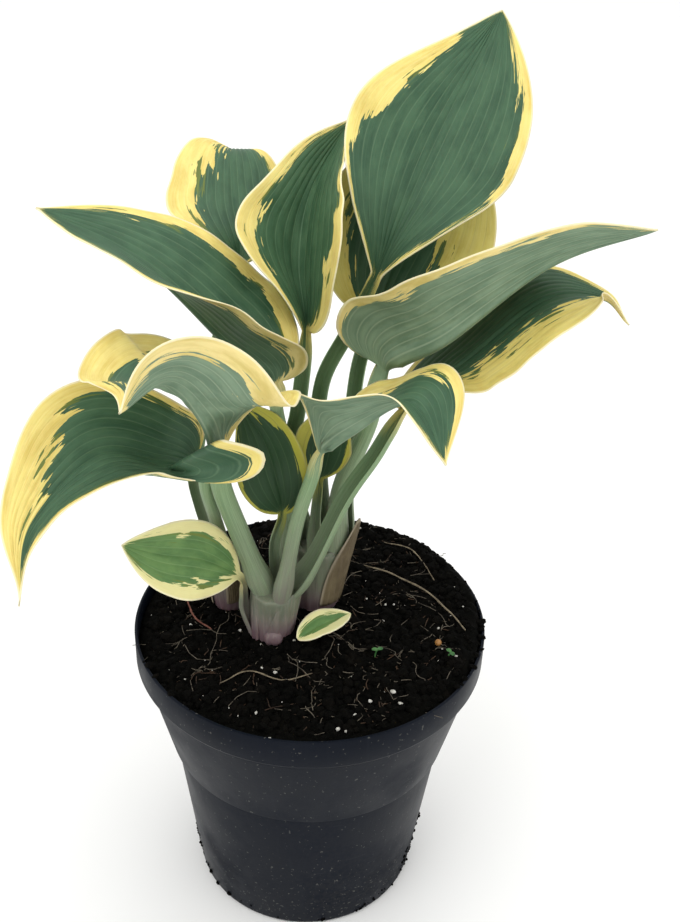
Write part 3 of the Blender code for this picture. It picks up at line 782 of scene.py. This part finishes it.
def stalk_skin(spec, line, run, up, side, first, columns):
    """Upper and lower side of a stalk: a channel above and a round back."""
    climb = np.clip(np.arange(len(run)) / first, 0, 1)
    swell, swell_at, swell_over = STALK_SWELL
    radius = spec["foot"] * (1 - climb) + spec["neck"] * climb
    radius = (radius * (1 + swell * np.exp(-((run - swell_at) / swell_over) ** 2)))[:, None, None]
    level = np.linspace(-1, 1, columns)
    back_side = np.sin(level * STALK_WRAP)
    back_up = -STALK_BACK * np.cos(level * STALK_WRAP)
    depth = 0.5 + 0.65 * climb
    dip = depth[:, None] * np.cos(math.pi / 2 * level)[None] ** 1.3
    top_side = back_side[-1] * level
    top_up = back_up[-1] + STALK_LIP - dip
    top = line[:, None] + radius * (side[:, None] * top_side[None, :, None]
                                    + up[:, None] * top_up[..., None])
    back = line[:, None] + radius * (side[:, None] * back_side[None, :, None]
                                     + up[:, None] * back_up[None, :, None])
    return top, back


def make_leaf(name, spec, number, material):
    """One leaf, blade and stalk in one skin."""
    line, run, along, up, first = leaf_spine(spec)
    veins = max(2, round(spec["half"] / VEIN_SPACING))
    half_columns = veins * VEIN_COLUMNS
    total, columns = len(line), 2 * half_columns + 1
    u = np.clip((np.arange(total) - first) / (total - 1 - first), 0, 1)
    width = leaf_widths(spec, u, first)
    middle, share, reach = flat_leaf(spec, line, along, up, u, width, half_columns,
                                     run[-1] - run[first])

    # swelling between veins, and a gently undulating edge
    lane = np.linspace(-veins, veins, columns)
    room = np.clip(width / ROOMY, 0, 1)[:, None]
    in_blade = np.clip((np.arange(total) - first) / BLADE_START, 0, 1)[:, None]
    pillow = (PILLOW * np.abs(np.sin(math.pi * lane)) ** 0.8 * room * in_blade
              * np.clip(1.25 - np.abs(share), 0, 1))
    wave = edge_wave(spec, u, share, np.random.default_rng(LEAF_SEED + number))
    middle = middle + grid_normals(middle) * (pillow + wave * room)[..., None]
    normal = grid_normals(middle)

    # thickness, with a midrib that stands out below and is sunk above
    distance = np.abs(reach)
    half_width = np.maximum(distance[:, [0]] * (share <= 0) + distance[:, [-1]] * (share > 0), 0.2)
    edge = half_width - distance
    thick = EDGE_THICKNESS + (BLADE_THICKNESS - EDGE_THICKNESS) * np.clip(edge / EDGE_TAPER, 0, 1)
    rib = spec["neck"] * RIB_SHARE * (1 - u[:, None]) ** RIB_FADE + RIB_LEAST
    rib_width = np.maximum(rib * 1.05, 0.6)
    keel = rib * np.exp(-(distance / rib_width) ** 2) * in_blade
    gutter = GUTTER * np.exp(-(distance / np.maximum(rib_width * 0.5, 0.35)) ** 2)
    top = middle + normal * (thick / 2 - gutter * in_blade * (1 - u[:, None]))[..., None]
    bottom = middle - normal * (thick / 2 + keel)[..., None]

    ones = np.ones((total, columns))
    past_base = run - run[first]
    stalkness = 0 * ones
    if first:
        stalk_top, stalk_back = stalk_skin(spec, line, run, up, np.cross(along, up), first,
                                           columns)
        opening = smooth(np.clip((past_base + OPENING[0]) / OPENING[1], 0, 1))[:, None, None]
        top = stalk_top * (1 - opening) + top * opening
        bottom = stalk_back * (1 - opening) + bottom * opening
        stalkness = np.clip((FADING[0] - past_base) / FADING[1], 0, 1)[:, None] * ones

    gold_width = np.where(share <= 0, eased(u, spec["gold_left"])[:, None],
                          eased(u, spec["gold_right"])[:, None])
    values = {
        "across": lane * ones, "run": past_base[:, None] * ones,
        "edge": edge + stalkness * 5, "gold": gold_width - edge, "broad": gold_width,
        "stalk": stalkness, "seed": (3.7 * number + 1.3) * ones,
        "mauve": spec["mauve"] * (1 - np.clip(run / MAUVE_REACH, 0, 1))[:, None] * ones,
        **{key: spec[key] * ones for key in ("pale", "deep", "bloom")}}
    both = {key: np.tile(value.ravel(), 2) for key, value in values.items()}
    both["under"] = np.repeat((0, 1), total * columns)
    points = np.concatenate([top.reshape(-1, 3), bottom.reshape(-1, 3)])
    replaced = ["blade_" + name] + (["stalk_" + name] if spec["stalk"] else [])
    add_piece("leaf_" + name, points, shell_faces(total, columns), material, replaced,
              both, loose=False)


# --- The pot
def pot_finish():
    """Charcoal nursery plastic: lighter vertical streaks of painted sheen, also bumped into the
    surface, scuffs, dried soil dust and a few specks.
    """
    f = Finish("pot_plastic")
    height = f.height()
    clouds = f.noise(28.0, 5.0)
    # painted sheen: lighter streaks running up and down the pot; the same noise also bumps the
    # surface
    drawn = f.drawn(420.0, 22.0)
    scuffs = f.drawn(60.0, 900.0, 2.0, 0.7)
    grit = f.noise(620.0, 2.0, 0.6)
    specks = f.noise(760.0, 2.0, 0.5)
    low = f.step(height, 0.0, 0.045, 1.0, 0.0)
    dust = f.step(clouds, 0.42, 0.72) * (low * 0.45 + 0.18)
    scuff = f.step(scuffs, 0.66, 0.74) * f.step(clouds, 0.5, 0.62, 0.0, 0.4)
    colour = f.painted(
        (10, 15, 24), (f.step(clouds, 0.3, 0.7), (15, 20, 30)),
        (f.step(drawn, 0.55, 0.8, 0.0, 0.3), (26, 31, 39)),
        (dust * f.step(grit, 0.35, 0.65), (44, 44, 43)), (scuff, (60, 64, 68)),
        (f.step(specks + low * 0.05, 0.69, 0.71, 0.0, 0.6), (92, 92, 88)),
        (f.step(specks, 0.25, 0.265, 0.6, 0.0), (14, 13, 12)))
    f.bump(drawn * 0.5 + grit * 0.35, 0.0002, 0.3)
    return f.done(colour, f.step(clouds, 0.3, 0.7, 0.36, 0.5) + dust * 0.5, 0.07)


def pot_outline():
    """The pot's outline from the middle of its base up to the rim, as (radius, height)."""
    return [(FOOT_RADIUS - 2, 0), (FOOT_RADIUS - 0.9, 0.25), (FOOT_RADIUS - 0.25, 0.9),
            (FOOT_RADIUS, 2), (BODY_TOP_RADIUS, COLLAR_BOTTOM - 0.8),
            (BODY_TOP_RADIUS + 0.6, COLLAR_BOTTOM - 0.35),
            (COLLAR_BOTTOM_RADIUS - 0.15, COLLAR_BOTTOM),
            (COLLAR_BOTTOM_RADIUS + 0.05, COLLAR_BOTTOM + 0.5),
            (COLLAR_TOP_RADIUS, RIM_BOTTOM - 1.2), (COLLAR_TOP_RADIUS + 0.9, RIM_BOTTOM - 0.5),
            (RIM_RADIUS - 0.35, RIM_BOTTOM + 0.15), (RIM_RADIUS, RIM_BOTTOM + 0.9),
            (RIM_RADIUS, POT_HEIGHT - 0.6), (RIM_RADIUS - 0.15, POT_HEIGHT - 0.15),
            (RIM_RADIUS - 0.5, POT_HEIGHT)]


def pot_inside():
    """The pot's inner side from its floor up to the rim, as (radius, height)."""
    outline = pot_outline()
    heights = (FLOOR, COLLAR_BOTTOM - 1.2, COLLAR_BOTTOM + 2, RIM_BOTTOM - 1.2,
               RIM_BOTTOM + 2, POT_HEIGHT - 0.5)
    radii = np.interp(heights, [p[1] for p in outline], [p[0] for p in outline]) - WALL
    return list(zip(radii, heights)) + [(RIM_RADIUS - WALL + 0.25, POT_HEIGHT)]


def make_pot():
    """The pot's outline turned round its axis, with a ring of drain holes through its floor."""
    profile = [(0, 0)] + pot_outline() + pot_inside()[::-1] + [(0, FLOOR)]
    host = bpy.data.meshes.new("pot_profile")
    host.from_pydata([(radius * MM, 0, z * MM) for radius, z in profile],
                     [(i, i + 1) for i in range(len(profile) - 1)], [])
    r = Recipe("turned_pot", {
        "Sides": POT_SEGMENTS, "Profile points": len(profile), "Drain holes": DRAIN_HOLES,
        "Drain radius": DRAIN_RADIUS * MM, "Drain circle": DRAIN_CIRCLE * MM,
        "Floor": FLOOR * MM})
    given = r.given
    around_it, up_it = given["Sides"], given["Profile points"]
    grid = r.shape("MeshGrid", {"Vertices X": around_it + 1.0, "Vertices Y": up_it})
    index = r.shape("InputIndex")
    row, column = r.sum("MODULO", index, up_it), r.sum("FLOOR", index / up_it)
    point = r.shape("SampleIndex", {0: given["Geometry"], "Value": r.shape("InputPosition"),
                                    "Index": row}, data_type="FLOAT_VECTOR")
    angle = column / around_it * (2 * math.pi)
    turned = r.add("ShaderNodeVectorRotate", {"Vector": point, "Angle": angle},
                   rotation_type="Z_AXIS")[0]
    wall = r.shape("SetPosition", {0: grid, "Position": turned})
    wall = r.shape("MergeByDistance", {0: wall, "Distance": 1e-6})
    centres = r.shape("MeshCircle", {"Vertices": given["Drain holes"],
                                     "Radius": given["Drain circle"]})
    half_step = r.sum("DIVIDE", math.pi, given["Drain holes"])
    centres = r.shape("Transform", {0: centres, "Rotation": r.vector(0.0, 0.0, half_step)})
    punch = r.shape("MeshCylinder", {"Vertices": DRAIN_SIDES, "Radius": given["Drain radius"],
                                     "Depth": given["Floor"] * 4.0})
    punches = r.shape("InstanceOnPoints", {0: centres, "Instance": punch})
    punches = r.shape("RealizeInstances", (punches,))
    cut = r.shape("MeshBoolean", (wall, punches), operation="DIFFERENCE")
    pot = r.made("nursery_pot", host, cut, pot_finish())
    outward(pot, POT_CREASE)
    for vertex in pot.data.vertices:  # the cut leaves some a hair below the ground
        vertex.co.z = max(vertex.co.z, 0)
    join_frame(pot, ["pot"])


# --- The soil
def soil_finish(name, dark, light, warm):
    """Matt soil: lumps of two shades, with warmer patches."""
    f = Finish(name)
    lumps = f.noise(700.0, 3.0, 0.7)
    patches = f.noise(120.0)
    colour = f.painted(dark, (f.step(lumps, 0.35, 0.7), light),
                       (f.step(patches, 0.5, 0.75, 0.0, 0.6), warm))
    f.bump(f.noise(1500.0, 3.0, 0.7), 0.0005, 0.6)
    return f.done(colour, f.step(lumps, 0.3, 0.7, 0.86, 1.0), 0.05)


def bark_finish(name, dark, light):
    """Dry root and bark: clouded, and worn pale in small spots."""
    f = Finish(name)
    coarse = f.noise(260.0, 4.0, 0.65)
    grain = f.noise(1300.0, 3.0, 0.6)
    colour = f.painted(dark, (f.step(coarse, 0.3, 0.7), light),
                       (f.step(grain, 0.55, 0.8, 0.0, 0.5), (*light, 1.8)))
    f.bump(grain, 0.0004, 0.6)
    return f.done(colour, f.step(grain, 0.3, 0.7, 0.7, 0.92), 0.3)


def soil_height(x, y):
    """The heap and its lumps."""
    across = (x * SOIL_HEAP_TOWARDS[0] + y * SOIL_HEAP_TOWARDS[1]) / RIM_RADIUS
    heap = SOIL_RISE * (0.5 + 0.5 * across) ** 1.5
    lumps = SOIL_LUMP * noise.noise(Vector((x / SOIL_LUMP_SIZE, y / SOIL_LUMP_SIZE, 3.7)))
    return SOIL_FRONT + heap + lumps


def soil_top(radius, rings, segments):
    """Rings of points over the heap, broken up finely, from the edge to the middle."""
    grid = []
    for step in range(rings):
        reach = radius * (1 - step / rings) + 0.15
        near = np.clip((reach - radius + SOIL_MARGIN) / SOIL_MARGIN, 0, 1)
        sink = SOIL_SINK * near ** 2
        grid.append([
            (x, y, soil_height(x, y) - sink + SOIL_CRUMB * noise.fractal(
                Vector((x / SOIL_CRUMB_SIZE, y / SOIL_CRUMB_SIZE, 9.1)), 0.9, 2.0, 4))
            for x, y, _ in circle(reach, around(segments), 0)])
    return grid


def make_soil():
    """The soil bed: its side just inside the pot's wall, and the broken heap on top."""
    rings, segments = 100, 300
    wall = pot_inside()[:-1]
    wall[0] = (wall[0][0], FLOOR + SOIL_GAP)
    wall[-1] = (wall[-1][0], SOIL_FRONT - 2 * SOIL_LUMP)
    below = [circle(radius - SOIL_GAP, around(segments), z) for radius, z in wall]
    grid = np.array(below + soil_top(SOIL_EDGE, rings, segments))
    material = soil_finish("potting_soil", (4, 4, 3), (9, 9, 7), (13, 11, 8))
    add_piece("soil_bed", grid.reshape(-1, 3), ring_faces(len(grid), segments), material,
              ["soil"], loose=False)


def soil_host(inset, lift):
    """The soil's surface as a plain sheet to scatter on, left open round the shoots."""
    rings, segments = 30, 90
    points = np.array(soil_top(SOIL_EDGE - inset, rings, segments)).reshape(-1, 3) + (0, 0, lift)
    faces = [face for face in ring_faces(rings, segments, closed=False)
             if all(math.dist(points[face].mean(axis=0)[:2], spot[:2]) > spot[2]
                    for spot in CROWN_SPOTS)]
    return plain_mesh("soil_sheet", points, faces)


def wall_host(patches):
    """Patches of a plain sheet to scatter on, lying on the outside of the pot or on its rim."""
    points, faces = [], []
    steps = 16
    for first, last, low, high in patches:
        turn = np.radians(np.linspace(first, last, steps + 1))
        edges = [circle(radius, turn, z) for radius, z in (low, high)]
        faces += [(i, i + 2, i + 3, i + 1)
                  for i in range(len(points), len(points) + 2 * steps, 2)]
        points += np.stack(edges, 1).reshape(-1, 3).tolist()
    return plain_mesh("wall_sheet", points, faces)


def scatter_crumbs(name, material, host, rounds=1):
    """Broken grains on the soil: rough little solids, more small ones than large."""
    r = Recipe(name, dict(zip(("Grains per square metre", "Smallest", "Largest", "Roughness",
                               "Seed"), CRUMBS[name])))
    grain = r.shape("MeshIcoSphere", {"Radius": 1.0, "Subdivisions": rounds})
    real = r.scattered(grain, "Grains per square metre", power=3.0, tilt=0.6, seed=9,
                       squeeze=r.chance((0.6, 0.6, 0.45), (1.3, 1.1, 0.9), seed=5))
    real = r.pushed(real, scale=900.0, detail=2.0, reach=[r.given["Roughness"]] * 3)
    join_frame(r.made(name, host, real, material))


def scatter_fibres(name, material):
    """Broken roots and bark threads lying on the soil in every direction, each bent its own
    way."""
    r = Recipe(name, dict(zip(("Threads per square metre", "Smallest", "Largest", "Thickness",
                               "Bend", "Lift", "Seed"), THREADS[name])))
    given = r.given
    thread = r.shape("CurvePrimitiveLine", {"Start": (-0.5, 0, 0), "End": (0.5, 0, 0)})
    thread = r.shape("ResampleCurve", {0: thread, "Count": 12})
    real = r.scattered(thread, "Threads per square metre", power=2.0, tilt=0.2, seed=4)
    real = r.pushed(real, scale=75.0, detail=1.0,
                    reach=(given["Bend"], given["Bend"], given["Lift"]))
    section = r.shape("CurvePrimitiveCircle", {"Resolution": 4, "Radius": given["Thickness"]})
    body = r.shape("CurveToMesh", {0: real, 1: section, "Fill Caps": True})
    piece = r.made(name, soil_host(THREAD_INSET, 0.2), body, material)
    piece.data.shade_smooth()
    join_frame(piece)


def dress_soil():
    """Crumbs, perlite, dust-fine grains and threads over the soil bed, and soil on the pot."""
    crumb = soil_finish("soil_crumb", (4, 4, 3), (12, 11, 9), (20, 17, 13))
    scatter_crumbs("soil_crumbs", crumb, soil_host(CRUMB_INSET, 0.0))
    scatter_crumbs("spilled_crumbs", crumb, wall_host(SPILLED))
    scatter_crumbs("clinging_soil", crumb, wall_host(CLINGING))
    f = Finish("perlite")
    pits = f.noise(1800.0)
    f.bump(pits, 0.0004, 0.8)
    white = f.done(f.painted((150, 146, 136), (f.step(pits, 0.3, 0.6), (214, 212, 204))),
                   f.step(pits, 0.3, 0.7, 0.7, 0.9), 0.3)
    scatter_crumbs("perlite_grains", white, soil_host(CRUMB_INSET, 0.5), rounds=2)
    scatter_fibres("tan_threads", bark_finish("tan_thread", (62, 56, 48), (118, 110, 96)))
    scatter_fibres("brown_threads", bark_finish("brown_thread", (36, 27, 20), (78, 58, 42)))


def make_tube(name, path, radii, material, replaced, sides=10):
    """A round tapering tube along a path, closed at both ends."""
    path = np.array(path, float)
    along = heading(path)
    up = carried(along, (0.13, 0.11, 1.0))
    side = np.cross(along, up)
    turn = around(sides)[None, :, None]
    rings = path[:, None] + radii[:, None, None] * (np.cos(turn) * side[:, None]
                                                    + np.sin(turn) * up[:, None])
    add_piece(name, rings.reshape(-1, 3), ring_faces(len(path), sides), material, replaced)


def make_strands():
    """Loose roots and a twig, each winding a little and lying along the soil."""
    pale_root = bark_finish("dry_root", (84, 74, 58), (142, 130, 108))
    red_twig = bark_finish("red_twig", (70, 38, 30), (132, 84, 70))
    chance = np.random.default_rng(STRAND_SEED)
    for node, (name, flat_points, radius) in STRANDS.items():
        flat = even(smooth_path([(x, y, 0) for x, y in flat_points])[0], 60)
        share = np.linspace(0, 1, len(flat))
        wander = [sum(np.sin(share * bends + chance.uniform(0, 6)) / bends * 3
                      for bends in (9, 17, 31)) for axis in (0, 1)]
        taper = 0.5 * radius * (0.5 + 0.5 * np.sin(math.pi * share) ** 0.4)
        knots = 1 + 0.22 * np.sin(share * 40 + chance.uniform(0, 6)) * np.sin(share * 17)
        path = [(x + dx * 0.5, y + dy * 0.5, soil_height(x, y) + radius + STRAND_SEAT)
                for (x, y, z), dx, dy in zip(flat, *wander)]
        material, slot = (red_twig, "twig") if node == "twig_left" else (pale_root, "strand")
        make_tube(name, path, taper * knots, material, [node])


# --- The crown
def sheath_finish():
    """Young sheath: mauve grey with purple at the foot, thin green above, finely ribbed."""
    f = Finish("sheath_skin")
    height = f.height()
    ribs = f.drawn(900.0, 50.0, 3.0, 0.6)
    clouds = f.noise(110.0, 4.0)
    foot = f.step(height, 0.117, 0.131, 1.0, 0.0) * f.step(clouds, 0.25, 0.7, 0.4, 1.0)
    colour = f.painted(
        (104, 88, 90), (f.step(clouds, 0.3, 0.7), (130, 116, 114)),
        (f.step(height, 0.12, 0.137) * 0.85, (112, 122, 100)), (foot * 0.75, (92, 60, 74)),
        (f.step(ribs, 0.5, 0.75, 0.0, 0.45), (152, 140, 132)),
        (f.step(ribs, 0.22, 0.4, 0.35, 0.0), (78, 58, 62)))
    f.bump(ribs, 0.0004, 0.5)
    return f.done(colour, f.step(clouds, 0.3, 0.7, 0.42, 0.58), 0.4,
                  Subsurface_Weight=0.08, Subsurface_Scale=0.002)


def papery_finish():
    """Dried scale: olive brown with a painted highlight along its edge, and dark threads."""
    f = Finish("dry_scale")
    ribs = f.drawn(1100.0, 60.0, 3.0, 0.6)
    clouds = f.noise(160.0, 4.0)
    colour = f.painted(
        (92, 80, 60), (f.step(clouds, 0.3, 0.7), (112, 100, 76)),
        (f.step(ribs, 0.5, 0.75, 0.0, 0.5), (130, 116, 94)),
        (f.step(ribs, 0.25, 0.42, 0.5, 0.0), (64, 48, 34)),
        # painted highlight: a pale band along the scale's edge
        (f.step(f.read("edge"), 0.2, 1.1, 0.5, 0.0), (190, 178, 158)))
    f.bump(ribs, 0.0004, 0.7)
    return f.done(colour, f.step(clouds, 0.3, 0.7, 0.6, 0.8), 0.3)


def shoot_section(spec, z):
    """A shoot's centre and its two radii at a height."""
    foot, head, foot_radii, head_radii = spec
    level = (z - ROOT_TOP) / (head[2] - ROOT_TOP)
    swell = np.maximum(level, 0) ** 1.4
    centre = [a + (b - a) * level for a, b in zip(foot, head)]
    radii = [a + (b - a) * swell for a, b in zip(foot_radii, head_radii)]
    return np.array(centre), np.array(radii)


def sheath_grid(shoot, facing, half_turn, bottom, top, out, flare=0.0, pointed=0.0, slant=0.0,
                notch=0.0):
    """A curved sheet that hugs a shoot. It covers half_turn degrees each way from the direction
    it faces, opens by flare at its top, narrows to a point by the share pointed, and its top edge
    climbs by slant from one side to the other and dips by notch in the middle."""
    level = np.linspace(0, 1, SHEATH_ROWS)[:, None]
    over = np.linspace(-1, 1, SHEATH_COLUMNS)[None]
    crest = (top + slant * over - (1 - pointed) * 2.2 * over ** 4
             - notch * np.exp(-(over / 0.3) ** 2))
    z = bottom + (crest - bottom) * level
    centre, radii = shoot_section(SHOOTS[shoot], z)
    turn = np.radians(facing + half_turn * (1 - pointed * level ** 2.2) * over)
    ripple = 0.16 * np.sin(over * 23 + z * 0.15) + 0.1 * np.sin(over * 41 + z * 0.4)
    return ring(centre, radii + out + flare * level ** 3 + ripple, turn, z)


def sheet_mesh(name, grids, material, replaced=(), thickness=0.5):
    """Several thin sheets, each a closed skin, as one piece."""
    points, faces, edges = [], [], []
    for grid in grids:
        rows, columns = grid.shape[:2]
        across = np.abs(np.linspace(-1, 1, columns))[None]
        level = np.linspace(0, 1, rows)[:, None]
        span = np.linalg.norm(grid[:, -1] - grid[:, 0], axis=-1)[:, None] / 2 + 0.2
        rim = np.minimum((1 - across) * span, (1 - level) * 20)
        half = (thickness / 2 * np.clip(0.35 + rim, 0.35, 1))[..., None]
        both, sides = skins(grid, half, sum(len(p) for p in points))
        points += both
        faces += sides
        edges += [rim.ravel(), rim.ravel()]
    add_piece(name, np.concatenate(points), faces, material, replaced,
              {"edge": np.concatenate(edges)})


def make_core(shoot, material):
    """The solid heart of a shoot: ribbed sides and a domed head where its stalks come out."""
    sides, rows, dome_rows = 56, 24, 8
    ribs, rib = 9, 0.12
    shoulder, dome = 1.5, 2.0  # the dome starts a shoulder below the head
    turn, spec = around(sides), SHOOTS[shoot]
    neck = spec[1][2] - shoulder
    rings = []
    for z in np.linspace(ROOT_TOP + 0.3, neck, rows):
        centre, radii = shoot_section(spec, z)
        rings.append(ring(centre, radii[:, None] + rib * np.sin(ribs * turn), turn, z))
    centre, radii = shoot_section(spec, neck)
    for lean in np.arange(1, dome_rows) / dome_rows * math.pi / 2:
        rings.append(ring(centre, radii * math.cos(lean), turn, neck + dome * math.sin(lean)))
    add_piece(shoot + "_shoot_core", np.concatenate(rings), ring_faces(len(rings), sides),
              material, ["shoot_" + shoot])


def make_bud(name, centre, radii, material):
    """A small round bud with a shallow crease, pushing out of the crown."""
    ways, turn, faces = ball()
    crease = 1 - 0.08 * np.exp(-((np.degrees(turn) - 270) / 16) ** 2)
    points = centre + ways * radii * np.stack([crease, crease, np.ones(len(turn))], -1)
    add_piece(name, points, faces, material)


def make_crown():
    """The shoots' cores, the sheaths round them, two dry scales and a bud."""
    skin = sheath_finish()
    for shoot in SHOOTS:
        make_core(shoot, skin)
    sheet_mesh("front_sheaths", [
        sheath_grid("front", -95, 95, 115, 138.5, 0.45, flare=-1.3, slant=-2.0, notch=5.5),
        sheath_grid("front", -20, 80, 115, 141, 0.9, flare=-1.5, slant=3.0, pointed=0.3),
        sheath_grid("front", 170, 70, 114, 137, 0.8, flare=-1.2, slant=-3.0, pointed=0.2)],
        skin)
    sheet_mesh("left_sheaths", [
        sheath_grid("left", -90, 100, 115, 141, 0.4, flare=-1.2, slant=2.0, notch=4.0),
        sheath_grid("left", 100, 95, 115, 139, 0.8, flare=-1.2, slant=-2.0)], skin)
    sheet_mesh("right_sheaths", [
        sheath_grid("right", -120, 95, 116, 149, 0.4, flare=-1.3, slant=-2.0, notch=6.0),
        sheath_grid("right", 60, 95, 117, 151, 0.5, flare=-1.3, slant=2.0)], skin)
    dry = papery_finish()
    sheet_mesh("right_dry_scale", [
        sheath_grid("right", -25, 58, 123, 160, 1.0, flare=-0.6, pointed=0.93)],
        dry, ["shoot_bract"], thickness=0.6)
    sheet_mesh("left_dry_scales", [
        sheath_grid("left", -62, 26, 122, 153, 1.0, flare=0.2, pointed=0.9),
        sheath_grid("left", 170, 40, 118, 136, 1.3, flare=0.6, pointed=0.8)],
        dry, thickness=0.45)
    make_bud("front_bud", (-13.0, -13.4, 120.4), (3.5, 2.7, 3.8), skin)


def make_rootstock():
    """The knobbly rootstock under the shoots."""
    centres = ((-38, 14), (-31, 12), (-21, 3), (-12, -5), (-3, 3), (6, 12), (15, 13))
    radii = (2.5, 6.5, 5.5, 8.0, 6.0, 8.0, 3.0)
    line = smooth_path([(x, y, radius) for (x, y), radius in zip(centres, radii)], 8)[0]
    sides, depth, slack = 28, 9.0, 0.97
    x, y, radius = line.T[:, :, None]
    i = np.arange(len(line))[:, None]
    turn = around(sides)[None]
    knob = 1 + 0.06 * np.sin(5 * turn + i) + 0.04 * np.sin(i * 1.7)
    points = np.stack(np.broadcast_arrays(
        x, y + radius * knob * np.cos(turn) * slack,
        ROOT_TOP - depth / 2 + depth / 2 * slack * np.sin(turn)), -1)
    material = bark_finish("rootstock_skin", (120, 96, 70), (176, 150, 118))
    add_piece("rootstock_body", points.reshape(-1, 3), ring_faces(len(line), sides), material,
              ["rootstock"])


# --- Small things on the soil
def make_granule():
    """A round feed granule, slightly uneven and pitted, low in the place of its solid."""
    low, high = [mm(corner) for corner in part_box("feed_granule")]
    shrink = 0.85
    radius = (high[2] - low[2]) / 2 * shrink
    centre = (low + high) / 2 - (0, 0, radius * (1 - shrink))
    ways, _, faces = ball()
    reach = [radius * (0.97 + 0.07 * noise.noise(Vector(way) * 2.5)) for way in ways]
    f = Finish("feed_coating")
    spots = f.noise(900.0, 4.0)
    colour = f.painted((134, 88, 40), (f.step(spots, 0.35, 0.65), (170, 122, 62)))
    f.bump(f.noise(2600.0, 2.0), 0.0003, 0.5)
    material = f.done(colour, f.step(spots, 0.3, 0.7, 0.3, 0.5), 0.5)
    add_piece("feed_grain", centre + ways * np.array(reach)[:, None], faces, material,
              ["feed_granule"])


def make_seedlings():
    """Two tiny seedlings, each a bent stem with a pair of round seed leaves."""
    f = Finish("seedling_green")
    spots = f.noise(500.0)
    colour = f.painted((48, 96, 48), (f.step(spots, 0.3, 0.7), (84, 132, 74)))
    f.bump(spots, 0.0003, 0.4)
    green = f.done(colour, f.step(spots, 0.3, 0.7, 0.4, 0.55), 0.4)
    sides, rows, columns = 8, 12, 9
    for name, x, y, turn in (("seedling_1", 24.0, -20.0, 20.0),
                             ("seedling_2", 50.0, -22.0, 130.0)):
        ground = soil_height(x, y)
        head = np.array([x + 0.8, y - 0.4, ground + 3.6])
        stem = smooth_path([(x, y, ground - 1), (x + 0.2, y, ground + 1.6), head], 8)[0]
        points = [(stem[:, None] + circle(0.28, around(sides), 0)).reshape(-1, 3)]
        faces = ring_faces(len(stem), sides)
        t = np.linspace(0, 1, rows)[:, None, None]
        s = np.linspace(-1, 1, columns)[None, :, None]
        half = 0.8 * np.sin(math.pi * np.clip(t, 0.03, 0.985)) ** 0.6
        for way in np.radians((turn, turn + 165)):
            outwards = np.array([math.cos(way), math.sin(way), 0.25])
            sideways = np.array([-math.sin(way), math.cos(way), 0])
            grid = (head + outwards * 2.0 * t + sideways * half * s
                    + (0.35 * s * s - 0.5 * t * t) * (0, 0, 1))
            both, both_faces = skins(grid, 0.14, sum(len(p) for p in points))
            points += both
            faces += both_faces
        add_piece(name, np.concatenate(points), faces, green)


# --- Stage, light and camera
def make_stage():
    """A wide floor just below the pot, white light from all round and three soft lamps."""
    reach, drop = 6000.0, -0.3
    floor = plain_mesh("floor", [(-reach, -reach, drop), (reach, -reach, drop),
                                 (reach, reach, drop), (-reach, reach, drop)], [(0, 1, 2, 3)])
    floor.materials.append(Finish("pale_floor").done((244, 244, 242), 0.9, 0.1))
    in_scene("floor", floor)
    world = bpy.data.worlds.new("studio")
    bpy.context.scene.world = world
    world.use_nodes = True
    back = world.node_tree.nodes["Background"]
    back.inputs["Color"].default_value = (1, 1, 1, 1)
    back.inputs["Strength"].default_value = SKY
    for name, place, target, width, power in LIGHTS:
        data = bpy.data.lights.new(name, "AREA")
        data.shape = "DISK"
        data.size = width
        data.energy = power
        light = in_scene(name, data)
        light.location = place
        way = Vector(target) - Vector(place)
        light.rotation_euler = way.to_track_quat("-Z", "Y").to_euler()


def make_camera():
    """The camera looks down on the plant from the front, turned by two degrees."""
    forward = Vector((0, math.cos(CAMERA_DOWN), -math.sin(CAMERA_DOWN)))
    right = Vector((1, 0, 0))
    up = right.cross(forward)
    level = right * math.cos(CAMERA_ROLL) + up * math.sin(CAMERA_ROLL)
    upright = -right * math.sin(CAMERA_ROLL) + up * math.cos(CAMERA_ROLL)
    data = bpy.data.cameras.new("camera")
    data.sensor_width = 36.0
    data.lens = CAMERA_LENS
    data.clip_start = 0.01
    camera = in_scene("camera", data)
    turned = Matrix((level, upright, -forward)).transposed().to_4x4()
    camera.matrix_world = Matrix.Translation(CAMERA_PLACE) @ turned
    bpy.context.scene.camera = camera
    bpy.context.scene.view_settings.view_transform = "Standard"


make_camera()
make_stage()
make_pot()
make_soil()
make_rootstock()
make_crown()
leaf_tissue = leaf_finish()
for number, (name, spec) in enumerate(LEAVES.items()):
    make_leaf(name, spec, number, leaf_tissue)
make_strands()
make_granule()
make_seedlings()
dress_soil()
